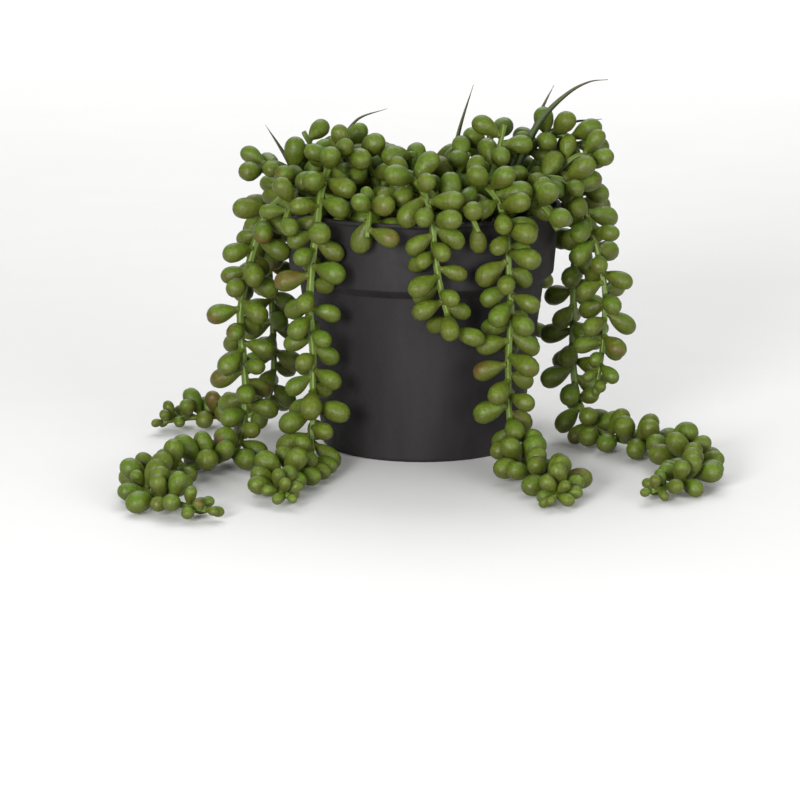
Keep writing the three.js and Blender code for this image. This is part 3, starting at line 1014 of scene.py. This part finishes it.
class LeafMesh:
    """The shape of one leaf: a thin neck that swells to a round end, bent a little and creased."""

    ATTRIBUTE = "leaf_place"
    SIDES = 14
    RINGS = (
        0.055, 0.085, 0.12, 0.17, 0.23, 0.30, 0.38, 0.46, 0.54, 0.62, 0.70, 0.78, 0.85, 0.91, 0.955, 0.985,
    )
    WIDEST = 0.66
    NECK = 0.22

    @classmethod
    def profile(cls, along: np.ndarray, fullness: float) -> np.ndarray:
        """Returns the share of the full radius at each share of the length.

        Args:
            along: The shares of the length.
            fullness: Below 1 the neck widens early, above 1 it stays thin for longer.

        Returns:
            The share of the full radius at each.
        """
        rise = np.clip((along - 0.07) / (cls.WIDEST - 0.07), 0, 1)
        cone = cls.NECK + (1 - cls.NECK) * np.sin(rise * math.pi / 2) ** fullness
        cap = np.sqrt(np.clip(1 - (np.clip(along - cls.WIDEST, 0, 1) / (1 - cls.WIDEST)) ** 2.15, 0, 1))
        flare = 0.16 * np.exp(-(((along - 0.06) / 0.055) ** 2))
        return np.where(along < cls.WIDEST, cone, cap) + flare

    @classmethod
    def add(cls, sheet: MeshSheet, leaf: Leaf, random: Lehmer, blushed: float) -> None:
        """Adds a leaf to a mesh.

        Args:
            sheet: The mesh.
            leaf: The leaf.
            random: Where its small differences come from.
            blushed: The share of this stem's leaves that are red-brown in places.
        """
        along = np.array(cls.RINGS)
        turn = np.arange(cls.SIDES) * TURN / cls.SIDES
        down = np.array([0.0, 0.0, -1.0]) + 0.5 * (np.array([random(), random(), random()]) - 0.5)
        sag = unit(down - down.dot(leaf.direction) * leaf.direction)
        side = np.cross(leaf.direction, sag)
        bend = leaf.length * (0.005 + 0.05 * random()) * along**2
        flat, lop = 0.92 + 0.10 * random(), (random() - 0.5) * 0.10
        crease_at, crease = random() * TURN, 0.02 + 0.05 * random() * (random() > 0.55)
        groove = 1 - crease * np.exp(-((np.angle(np.exp(1j * (turn - crease_at))) / 0.33) ** 2))
        wide = leaf.radius * cls.profile(along, 0.95 + 0.4 * random())[:, None]
        wide = wide * (1 + lop * np.cos(turn)[None, :]) * groove[None, :]
        out = (np.cos(turn) * flat)[:, None] * sag + np.sin(turn)[:, None] * side
        centre = leaf.base + along[:, None] * leaf.length * leaf.direction + bend[:, None] * sag
        points = centre[:, None, :] + wide[:, :, None] * out[None, :, :]
        painted_shade_tone_blush = cls.painted_shade_tone_blush(leaf, out, random, blushed)
        sheet.add(points.reshape(-1, 3), tube_faces(len(along), cls.SIDES), painted_shade_tone_blush)

    @classmethod
    def painted_shade_tone_blush(cls, leaf: Leaf, out: np.ndarray, random: Lehmer, blushed: float) -> np.ndarray:
        """Returns what the finish reads at each point: how far it faces up, lowered at the neck, which sets
        the painted shade; its leaf's tone; its blush.

        Args:
            leaf: The leaf.
            out: The way out of its section at each side.
            random: Where its small differences come from.
            blushed: The share of this stem's leaves that are red-brown in places.

        Returns:
            Three numbers for each point.
        """
        along = np.array(cls.RINGS)[:, None]
        tip_pull = np.clip((along - cls.WIDEST) / (1 - cls.WIDEST), 0, 1)
        # How far each point faces up, and lower at the neck: the finish paints shade where this is low.
        above = out[None, :, 2] * (1 - 0.6 * tip_pull) + leaf.direction[2] * tip_pull * 0.8
        above = above - 0.5 * np.clip((0.36 - along) / 0.3, 0, 1)
        tone, centre = random(), random() * TURN
        strength = 0.35 + 0.65 * random() if random() < blushed else 0.0
        turn = np.arange(cls.SIDES) * TURN / cls.SIDES
        facing = 0.5 + 0.5 * np.cos(turn - centre)[None, :]
        blush = strength * (0.35 + 0.65 * facing) * (0.55 + 0.45 * along)
        values = np.empty((len(cls.RINGS), cls.SIDES, 3))
        values[..., 0], values[..., 1], values[..., 2] = above, tone, blush
        return values.reshape(-1, 3)


@dataclass(frozen=True)
class RodMesh:
    """A ribbed, tapered rod along a route: a stem or, laid flat, a blade.

    Attributes:
        sides: Points round the rod.
        ribs: How many ribs run along it.
        ridge: How high a rib is, as a share of the radius.
        step: The way from ring to ring.
    """

    ATTRIBUTE = "rod_place"

    sides: int = 20
    ribs: int = 5
    ridge: float = 0.17
    step: float = 1.8

    def add(
        self, sheet: MeshSheet, route: Route, half_size: HalfSize, tone: float, turns: tuple[float, float]
    ) -> None:
        """Adds the rod to a mesh.

        Args:
            sheet: The mesh.
            route: Its route.
            half_size: Gives its half width and half depth at a share of the route.
            tone: A number kept at its points.
            turns: Its turn about its line at the foot and at the tip.
        """
        rings = math.ceil(route.length / self.step) + 1
        turn = np.arange(self.sides) * TURN / self.sides
        crest = 0.5 + 0.5 * np.cos(self.ribs * turn)
        reach = 1 - self.ridge * (1 - crest)
        points, values = [], []
        for share in np.linspace(0, 1, rings):
            place = route.at(share * route.length)
            across, deep = half_size(share)
            spin = turns[0] + (turns[1] - turns[0]) * share
            wide = math.cos(spin) * place.side + math.sin(spin) * place.normal
            thick = np.cross(place.tangent, wide)
            ring = np.outer(np.cos(turn) * reach * across, wide)
            ring += np.outer(np.sin(turn) * reach * deep, thick)
            points.append(place.point + ring)
            marks = [crest, np.full(self.sides, share), np.full(self.sides, tone)]
            values.append(np.column_stack(marks))
        sheet.add(np.vstack(points), tube_faces(rings, self.sides), np.vstack(values))


# ------------------------------------------------------------------ sub-assemblies


def settle(piece: bpy.types.Object, node: str) -> None:
    """Makes a piece ride on the part's one body, and says what it stands for.

    Args:
        piece: The piece.
        node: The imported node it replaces.
    """
    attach(piece, "root")
    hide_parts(node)
    LOG.info("%s: %d faces, for %s", piece.name, len(piece.data.polygons), node)


def turned_mesh(name: str, profile: list[tuple[float, float]], sides: int) -> bpy.types.Object:
    """Turns a profile that starts and ends on the axis into a closed object.

    Args:
        name: The object's name.
        profile: Its points as (radius, height), in millimetres, the first and last with radius 0.
        sides: Faces round it.

    Returns:
        The object.
    """
    turn = np.arange(sides) * TURN / sides
    body = np.array(profile[1:-1])
    rings = [np.column_stack([r * np.cos(turn), r * np.sin(turn), np.full(sides, z)]) for r, z in body]
    points = np.vstack([*rings, [(0, 0, profile[0][1])], [(0, 0, profile[-1][1])]]) * MM
    low, high = len(body) * sides, len(body) * sides + 1
    faces = tube_faces(len(body), sides)[1:-1]
    faces += [(low, (i + 1) % sides, i) for i in range(sides)]
    last = (len(body) - 1) * sides
    faces += [(high, last + i, last + (i + 1) % sides) for i in range(sides)]
    mesh = bpy.data.meshes.new(name)
    mesh.from_pydata(points, [], faces)
    mesh.update()
    made = bpy.data.objects.new(name, mesh)
    bpy.context.scene.collection.objects.link(made)
    return made


@dataclass
class Pot:
    """The tapered pot with its rim band."""

    sides: int = 160
    rounding: float = 0.45
    sag: float = 0.12

    def rounded(self, outline: list[tuple[float, float]], radius: float) -> list[tuple[float, float]]:
        """Rounds an outline's corners.

        Args:
            outline: Its points.
            radius: How far from a corner the rounding starts.

        Returns:
            The outline with three points for each corner.
        """
        points = [np.array(p, float) for p in outline]
        made = [points[0]]
        for before, corner, after in zip(points, points[1:], points[2:]):
            reach_in = min(radius, 0.45 * np.linalg.norm(corner - before))
            reach_out = min(radius, 0.45 * np.linalg.norm(after - corner))
            start = corner + reach_in * unit(before - corner)
            end = corner + reach_out * unit(after - corner)
            made += [start, 0.25 * start + 0.5 * corner + 0.25 * end, end]
        return [tuple(p) for p in [*made, points[-1]]]

    def filled(self, outline: list[tuple[float, float]], most: float) -> list[tuple[float, float]]:
        """Adds points on an outline's long stretches.

        Args:
            outline: Its points.
            most: The longest stretch that stays whole.

        Returns:
            The finer outline.
        """
        made = [outline[0]]
        for start, end in zip(outline, outline[1:]):
            pieces = max(1, math.ceil(math.dist(start, end) / most))
            way = np.array(end) - start
            made += [tuple(np.array(start) + way * k / pieces) for k in range(1, pieces + 1)]
        return made

    def build(self) -> bpy.types.Object:
        """Returns the pot, its wall a little uneven as moulded plastic is."""
        outline = [(0.0, 0.0), *POT.outer(), *POT.inner(), (0.0, POT.floor)]
        outline = self.filled(self.rounded(outline, self.rounding), 4.0)
        pot = turned_mesh("pot_body", outline, self.sides)
        for vertex in pot.data.vertices:
            x, y, z = vertex.co / MM
            if 3 < z < POT.height - 3:
                angle = math.atan2(y, x)
                wave = math.sin(2 * angle + 0.7) * 0.5 + math.sin(5 * angle + z * 0.05) * 0.3 - 0.8
                shift = 1 + self.sag * wave * MM / max(1e-6, math.hypot(vertex.co.x, vertex.co.y))
                vertex.co.x *= shift
                vertex.co.y *= shift
        pot.data.shade_smooth()
        self.sharpen(pot)
        return pot

    def sharpen(self, pot: bpy.types.Object) -> None:
        """Keeps flat faces flat beside their rounded edges.

        Args:
            pot: The pot.
        """
        weighted = pot.modifiers.new("weighted", "WEIGHTED_NORMAL")
        weighted.keep_sharp = False

    def dress(self, pot: bpy.types.Object) -> None:
        """Gives the pot its finish, puts it on the part's one body and hides the imported pot.

        Args:
            pot: The pot.
        """
        pot.data.materials.append(POT_CHARCOAL.material())
        settle(pot, "pot")


@dataclass
class Soil:
    """The filling of the pot: a lumpy top with loose crumbs on it.

    Attributes:
        gap: The clearance to the pot's wall.
        crown: How much lower the top is at the wall.
        rings: Rings of points over the top.
        sides: Points round it.
        crumbs: How many crumbs lie on it.
        seed: Where their numbers start.
        sunk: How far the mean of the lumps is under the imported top.
        swell: How far a lump stands off the mean.
        waves: The lumps' waves, as two rates, a start and a share.
    """

    gap: float = 0.4
    crown: float = 1.5
    rings: int = 60
    sides: int = 150
    crumbs: int = 520
    seed: int = 404
    sunk: float = 1.4
    swell: float = 0.9
    waves: tuple[tuple[float, float, float, float], ...] = (
        (0.21, 0.13, 0.4, 0.3), (-0.37, 0.29, 1.9, 0.25), (0.58, -0.44, 0.2, 0.2),
        (0.91, 0.83, 2.6, 0.15), (-1.3, 1.1, 0.9, 0.1),
    )

    def lump(self, x: float, y: float) -> float:
        """Returns how far the surface stands above or below its mean, from -1 to 1."""
        return sum(math.sin(a * x + b * y + c) * weight for a, b, c, weight in self.waves)

    def build(self) -> bpy.types.Object:
        """Returns the soil, with its crumbs in the same mesh."""
        lower = [(r - self.gap, z) for r, z in reversed(POT.inner()[1:])]
        lower[0] = (lower[0][0], lower[0][1] + self.gap)
        edge = POT.inner_radius_at(SOIL_TOP) - self.gap
        top = []
        for k in range(self.rings):
            radius = edge * (1 - k / self.rings)
            top.append((radius, SOIL_TOP - self.sunk - self.crown * (radius / edge) ** 2))
        outline = [(0, lower[0][1]), *lower, *top, (0, SOIL_TOP - self.sunk)]
        soil = turned_mesh("soil_body", outline, self.sides)
        for vertex in soil.data.vertices:
            x, y, z = vertex.co / MM
            if z > SOIL_TOP - 4:
                fade = min(1.0, (edge - math.hypot(x, y)) / 2.0)
                vertex.co.z += self.swell * MM * self.lump(x, y) * max(0.0, fade)
        self.add_crumbs(soil, edge)
        soil.data.shade_smooth()
        return soil

    def add_crumbs(self, soil: bpy.types.Object, edge: float) -> None:
        """Adds crumbs to the soil's mesh.

        Args:
            soil: The soil.
            edge: The radius of its top.
        """
        random = Lehmer(self.seed)
        form = bmesh.new()
        form.from_mesh(soil.data)
        for _ in range(self.crumbs):
            radius, angle = (edge - 2.5) * math.sqrt(random()), random() * TURN
            x, y = radius * math.cos(angle), radius * math.sin(angle)
            size = 0.5 + 1.0 * random() ** 2
            ground = SOIL_TOP - self.sunk - self.crown * (radius / edge) ** 2
            height = ground + self.swell * self.lump(x, y) + size * 0.15
            made = bmesh.ops.create_icosphere(form, subdivisions=1, radius=size * MM)["verts"]
            stretch = Vector((0.7 + 0.9 * random(), 0.7 + 0.6 * random(), 0.45 + 0.4 * random()))
            turn = Matrix.Rotation(random() * TURN, 3, "Z")
            for vertex in made:
                rough = 0.82 + 0.36 * random()
                turned = turn @ (vertex.co * stretch)
                vertex.co = turned * rough + Vector((x, y, height)) * MM
        form.to_mesh(soil.data)
        form.free()

    def dress(self, soil: bpy.types.Object) -> None:
        """Gives the soil its finish, puts it on the part's one body and hides the imported soil.

        Args:
            soil: The soil.
        """
        soil.data.materials.append(POTTING_MIX.material())
        settle(soil, "soil")


@dataclass
class Foliage:
    """Every leafy stem: the strands that trail and the sprigs that fill the crown.

    Attributes:
        strands: The strands.
        sprigs: The sprigs.
        rod: How a stem is shaped.
        blushed: The share of red-brown leaves on the stems that have many.
        seldom_blushed: That share on the others.
        twist: How far a stem's ribs turn from foot to tip.
    """

    strands: list[Stem]
    sprigs: list[Stem]
    rod: RodMesh = field(default_factory=RodMesh)
    blushed: dict[str, float] = field(default_factory=lambda: {
        "strand_left_outer": 0.35,
        "strand_left_behind": 0.5,
        "sprig_03": 0.5,
        "sprig_06": 0.5,
        "sprig_13": 0.4,
    })
    seldom_blushed: float = 0.18
    twist: float = 2.2

    def stem_half_size(self, stem: Stem) -> HalfSize:
        """Returns a function that gives the stem's half sizes, swollen a little in places.

        Args:
            stem: The stem.

        Returns:
            The function, of a share of the route.
        """
        def half_size(share: float) -> tuple[float, float]:
            """Returns the half width and half depth at a share of the route."""
            distance = share * stem.route.length
            swell = 1 + 0.05 * math.sin(distance * 0.83 + stem.seed) + 0.035 * math.sin(distance * 2.1)
            radius = stem.radius_at(share) * swell
            return radius, radius
        return half_size

    def build_stem(self, stem: Stem) -> bpy.types.Object:
        """Returns a stem's rod.

        Args:
            stem: The stem.

        Returns:
            Its object.
        """
        sheet = MeshSheet()
        tone = Lehmer(stem.seed * 7 + 3)()
        self.rod.add(sheet, stem.route, self.stem_half_size(stem), tone, (0.0, self.twist))
        return sheet.make(f"{stem.name}_stem", RodMesh.ATTRIBUTE, STEM_GREEN.material())

    def build_leaves(self, stem: Stem, leaves: list[Leaf]) -> bpy.types.Object:
        """Returns a stem's leaves.

        Args:
            stem: The stem.
            leaves: Its leaves.

        Returns:
            Their object.
        """
        sheet = MeshSheet()
        random = Lehmer(stem.seed * 31 + 17)
        share = self.blushed.get(stem.name, self.seldom_blushed)
        for leaf in leaves:
            LeafMesh.add(sheet, leaf, random, share)
        return sheet.make(f"{stem.name}_leaves", LeafMesh.ATTRIBUTE, LEAF_GREEN.material())

    def build(self, growth: Growth) -> None:
        """Grows and builds every stem with its leaves.

        Args:
            growth: The rule, with the room already taken by every stem.
        """
        for owner, stem in enumerate([*self.strands, *self.sprigs]):
            leaves = growth.grow(owner, stem)
            settle(self.build_stem(stem), stem.name)
            settle(self.build_leaves(stem, leaves), stem.name)


@dataclass
class Blade:
    """A grass blade.

    Attributes:
        name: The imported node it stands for.
        width: Its half width at the foot and at its widest.
        points: Its route above the soil.
        turn: How far its flat side is turned to the front.
    """

    WIDEST_AT = 0.35
    TAPER = 1.6
    TIP = 0.06
    TIP_THICKNESS = 0.4
    THICKNESS = 0.35

    name: str
    width: tuple[float, float]
    points: list[Point]
    turn: float = math.radians(60)
    route: Route = field(init=False)

    def __post_init__(self) -> None:
        """Makes the route."""
        self.route = Route(self.points)

    def radius_at(self, share: float) -> float:
        """Returns the radius that leaves keep clear of, which is the foot's all along."""
        return self.width[0]

    def half_size(self, share: float) -> tuple[float, float]:
        """Returns the half width and half depth at a share of the route."""
        foot, widest = self.width
        swell = math.sin(min(1.0, share / self.WIDEST_AT) * math.pi / 2)
        beyond = max(0.0, (share - self.WIDEST_AT) / (1 - self.WIDEST_AT))
        fade = max(self.TIP, 1 - beyond**self.TAPER)
        thin = self.TIP_THICKNESS + (1 - self.TIP_THICKNESS) * fade
        return (foot + (widest - foot) * swell) * fade, self.THICKNESS * thin

    def build(self) -> bpy.types.Object:
        """Returns the blade, ribbed along its faces."""
        sheet = MeshSheet()
        rod = RodMesh(sides=36, ribs=18, ridge=0.35, step=1.5)
        rod.add(sheet, self.route, self.half_size, 0.5, (self.turn, self.turn))
        return sheet.make(f"{self.name}_grass", RodMesh.ATTRIBUTE, BLADE_OLIVE.material())


# ------------------------------------------------------------------ the plant, in millimetres


STRANDS = [
    Stem("strand_left_outer", (1.95, 1.3), 11, StemEnd.ROSETTE, [
        (-31, -13, 95), (-38, -17, 104), (-46, -21, 111), (-56, -25, 113), (-65, -28, 106), (-70, -30, 94),
        (-74, -31, 79), (-77, -32, 62), (-76, -33, 45), (-75, -35, 29), (-76, -39, 16), (-79, -48, 7),
        (-86, -61, 5), (-97, -74, 5.2), (-108, -88, 5), (-113, -105, 5.2), (-109, -122, 5), (-99, -136, 5),
        (-86, -146, 5)]),
    Stem("strand_left_behind", (1.75, 1.2), 23, StemEnd.ROSETTE, [
        (-34, 7, 95), (-42, 11, 104), (-51, 14, 110), (-60, 16, 109), (-66, 17, 100), (-67, 17, 84),
        (-66, 17, 66), (-65, 17, 46), (-65, 18, 28), (-68, 21, 14), (-76, 25, 6), (-89, 27, 5),
        (-103, 24, 5), (-114, 16, 5)]),
    Stem("strand_left_front", (1.95, 1.3), 37, StemEnd.ROSETTE, [
        (-14, -6, 95), (-17, -9, 107), (-22, -13, 120), (-30, -20, 129), (-38, -31, 127), (-42, -42, 117),
        (-44, -50, 103), (-46, -53, 87), (-47, -54, 70), (-46, -54, 52), (-46, -55, 34), (-46, -57, 18),
        (-47, -64, 8), (-50, -78, 5), (-57, -93, 5), (-60, -109, 5.2), (-54, -124, 5)]),
    Stem("strand_centre", (1.7, 1.3), 41, StemEnd.CUT, [
        (-10, -30, 95), (-9, -35, 107), (-7, -42, 118), (-3, -52, 122), (1, -60, 117), (4, -65, 106),
        (5, -66, 94), (7, -66, 81), (10, -66, 69), (12, -65, 60)]),
    Stem("strand_right_front", (1.7, 1.15), 59, StemEnd.ROSETTE, [
        (14, -22, 95), (16, -28, 107), (20, -36, 116), (26, -45, 119), (32, -52, 112), (35, -55, 99),
        (36, -56, 84), (37, -57, 67), (36, -57, 50), (36, -57, 33), (37, -59, 17), (39, -67, 7),
        (43, -81, 5), (51, -95, 5), (56, -111, 5.2), (52, -127, 5)]),
    Stem("strand_right_short", (1.65, 1.2), 61, StemEnd.ROSETTE, [
        (34, -12, 95), (39, -13, 106), (47, -14, 115), (57, -16, 118), (66, -18, 112), (71, -19, 99),
        (75, -20, 85), (78, -21, 70), (78, -21, 56), (77, -22, 43), (75, -22, 30)]),
    Stem("strand_right_outer", (1.95, 1.3), 79, StemEnd.ROSETTE, [
        (28, 8, 95), (33, 9, 108), (42, 10, 122), (53, 10, 132), (63, 10, 132), (68, 9, 121),
        (68, 8, 106), (67, 8, 89), (66, 8, 72), (66, 8, 54), (66, 7, 36), (68, 3, 19),
        (74, -7, 8), (84, -18, 5), (96, -31, 5), (106, -47, 5), (112, -65, 5.2), (112, -84, 5),
        (104, -101, 5), (92, -114, 5)]),
    Stem("strand_back_left", (1.6, 1.2), 83, StemEnd.ROSETTE, [
        (-16, 27, 95), (-21, 35, 106), (-28, 44, 115), (-36, 53, 116), (-41, 60, 106), (-42, 62, 91),
        (-41, 62, 75), (-40, 61, 58), (-40, 60, 42)], spacing=4.8),
    Stem("strand_back_middle", (1.6, 1.2), 97, StemEnd.ROSETTE, [
        (2, 30, 95), (3, 40, 107), (4, 51, 114), (4, 62, 112), (4, 68, 101), (3, 69, 86),
        (2, 68, 70), (3, 67, 55)], spacing=4.8),
    Stem("strand_back_right", (1.6, 1.2), 101, StemEnd.ROSETTE, [
        (19, 25, 95), (25, 32, 106), (33, 41, 115), (42, 50, 115), (47, 57, 104), (48, 59, 89),
        (47, 58, 73), (46, 57, 57), (46, 56, 40), (47, 55, 27)], spacing=4.8),
]

SPRIG_ROUTES = [
    (211, [(-41, -3, 95), (-47, -5, 107), (-54, -7, 118), (-64, -9, 124), (-71, -10, 118)]),
    (223, [(-33, 18, 95), (-39, 17, 108), (-45, 15, 122), (-51, 13, 134)]),
    (227, [(-22, 6, 95), (-25, 6, 108), (-30, 5, 121), (-37, 3, 133)]),
    (229, [(-8, 16, 95), (-12, 15, 106), (-18, 14, 115), (-26, 12, 122)]),
    (233, [(-27, -30, 95), (-36, -34, 105), (-46, -38, 112), (-54, -44, 111), (-59, -50, 102)]),
    (239, [(-17, -39, 95), (-19, -46, 106), (-21, -54, 111), (-22, -62, 109), (-23, -67, 101)]),
    (241, [(0, -14, 95), (-1, -17, 107), (-3, -20, 118), (-4, -21, 130)]),
    (251, [(10, -2, 95), (12, -4, 107), (15, -8, 118), (20, -12, 128)]),
    (257, [(4, -40, 95), (8, -47, 105), (13, -54, 111), (19, -61, 110), (23, -66, 103)]),
    (263, [(22, -6, 95), (26, -8, 108), (31, -10, 123), (35, -11, 140)]),
    (269, [(16, 12, 95), (20, 13, 108), (26, 13, 122), (31, 12, 137)]),
    (271, [(30, -30, 95), (37, -36, 105), (44, -43, 111), (51, -49, 110), (56, -54, 102)]),
    (277, [(43, -1, 95), (49, -2, 107), (57, -3, 118), (67, -3, 126), (76, -3, 124)]),
    (281, [(38, 20, 95), (43, 23, 108), (50, 26, 120), (57, 28, 128)]),
    (283, [(-4, 38, 95), (-6, 42, 107), (-10, 46, 115), (-15, 48, 122)]),
    (293, [(8, 22, 95), (9, 25, 108), (10, 28, 117), (13, 30, 124)]),
    (307, [(-25, 36, 95), (-32, 40, 106), (-41, 43, 115), (-50, 44, 120)]),
]
SPRIGS = [
    Stem(f"sprig_{number:02d}", (1.5, 1.15), seed, StemEnd.CUT, points, spacing=4.6, bare=6)
    for number, (seed, points) in enumerate(SPRIG_ROUTES, 1)
]

BLADES = [
    Blade("blade_01", (1.1, 1.6), [(-45, 8, 95), (-51, 3, 110), (-59, 0, 126), (-67, -2, 139)]),
    Blade("blade_02", (1.1, 1.5), [
        (-24, 20, 95), (-30, 21, 112), (-34, 22, 127), (-28, 22, 138), (-15, 21, 143)]),
    Blade("blade_03", (1.1, 1.6), [(9, 7, 95), (12, 5, 115), (16, 2, 136), (22, 0, 156)]),
    Blade("blade_04", (1.4, 2.5), [
        (35, 2, 95), (38, 0, 112), (44, -3, 129), (52, -5, 143), (62, -6, 153), (71, -7, 158),
        (79, -7, 159)]),
    Blade("blade_05", (1.2, 2.5), [(36, 14, 95), (41, 14, 116), (48, 14, 133), (52, 14, 144), (57, 14, 154)]),
    Blade("blade_06", (1.2, 2.3), [(25, 20, 95), (36, 20, 114), (50, 19, 129), (64, 18, 137), (78, 17, 139)]),
]


# ------------------------------------------------------------------ studio


@dataclass
class Studio:
    """The pale floor, the soft lights and the camera. The lights aim at a point on the pot's axis, six tenths
    of its height up.

    Attributes:
        distance: How far in front of the pot the camera stands.
        eye_height: How high it stands.
        shift_left: How far it stands to the left.
        pitch_down: How far, in degrees, it looks down.
        focal_length: Its lens, in millimetres.
        sky: The even light from all round.
        lights: Each light's name, place, side and watts.
    """

    distance: float = 1.5
    eye_height: float = 0.3384
    shift_left: float = 0.0094
    pitch_down: float = 12.05
    focal_length: float = 158.5
    sky: float = 0.30
    lights: tuple[tuple[str, Point, float, float], ...] = (
        ("key", (-0.50, -1.40, 0.40), 0.42, 22.0),
        ("fill", (0.95, -1.25, 0.30), 0.9, 14.0),
        ("top", (0.05, 0.15, 1.8), 1.6, 5.0),
    )

    def build_floor(self) -> bpy.types.Object:
        """Returns a wide floor that curves up into a backdrop far behind the part."""
        side, front, back, bend, rise = 6.0, 5.0, 5.5, 1.5, 4.0
        profile = [(-front, 0.0), (back - bend, 0.0)]
        profile += [(back - bend + bend * math.sin(a), bend - bend * math.cos(a))
                    for a in np.linspace(0.1, math.pi / 2, 14)]
        profile.append((back, rise))
        points = [(x, y, z) for y, z in profile for x in (-side, side)]
        faces = [(2 * i, 2 * i + 1, 2 * i + 3, 2 * i + 2) for i in range(len(profile) - 1)]
        mesh = bpy.data.meshes.new("studio_floor")
        mesh.from_pydata(points, [], faces)
        mesh.shade_smooth()
        mesh.materials.append(STUDIO_PALE.material())
        floor = bpy.data.objects.new("studio_floor", mesh)
        bpy.context.scene.collection.objects.link(floor)
        return floor

    def add_light(self, name: str, place: Point, aim: Point, size: float, watts: float) -> None:
        """Adds a soft area light.

        Args:
            name: Its name.
            place: Where it stands.
            aim: What it points at.
            size: The side of its square.
            watts: Its power.
        """
        data = bpy.data.lights.new(name, "AREA")
        data.size, data.energy = size, watts
        light = bpy.data.objects.new(name, data)
        light.location = place
        light.rotation_euler = (Vector(aim) - Vector(place)).to_track_quat("-Z", "Y").to_euler()
        bpy.context.scene.collection.objects.link(light)

    def build(self) -> None:
        """Builds the camera, the lights, the world and the floor."""
        scene = bpy.context.scene
        data = bpy.data.cameras.new("studio_camera")
        data.lens, data.sensor_width = self.focal_length, 36.0
        data.clip_start, data.clip_end = 0.05, 20.0
        camera = bpy.data.objects.new("studio_camera", data)
        camera.location = (-self.shift_left, -self.distance, self.eye_height)
        camera.rotation_euler = (math.radians(90 - self.pitch_down), 0.0, 0.0)
        scene.collection.objects.link(camera)
        scene.camera = camera
        middle = (0.0, 0.0, POT.height * MM * 0.6)
        for name, place, size, watts in self.lights:
            self.add_light(name, place, middle, size, watts)
        self.add_light("backdrop", (0.0, 2.6, 2.4), (0.0, 2.6, 0.0), 3.0, 85.0)
        world = bpy.data.worlds.new("studio_world")
        world.use_nodes = True
        background = world.node_tree.nodes["Background"]
        background.inputs["Color"].default_value = (1.0, 1.0, 1.0, 1.0)
        background.inputs["Strength"].default_value = self.sky
        scene.world = world
        scene.view_settings.view_transform = "Standard"
        self.build_floor()


def main() -> None:
    """Builds the scene: studio, pot, soil, foliage and blades."""
    logging.basicConfig(level=logging.INFO, format="%(name)s %(message)s")
    Studio().build()
    pot = Pot()
    pot.dress(pot.build())
    soil = Soil()
    soil.dress(soil.build())
    growth = Growth()
    rooted = [*STRANDS, *SPRIGS, *BLADES]
    for owner, rod in enumerate(rooted):
        growth.occupy(owner, rod.route, rod.radius_at)
    Foliage(STRANDS, SPRIGS).build(growth)
    for blade in BLADES:
        settle(blade.build(), blade.name)


if __name__ == "__main__":
    main()
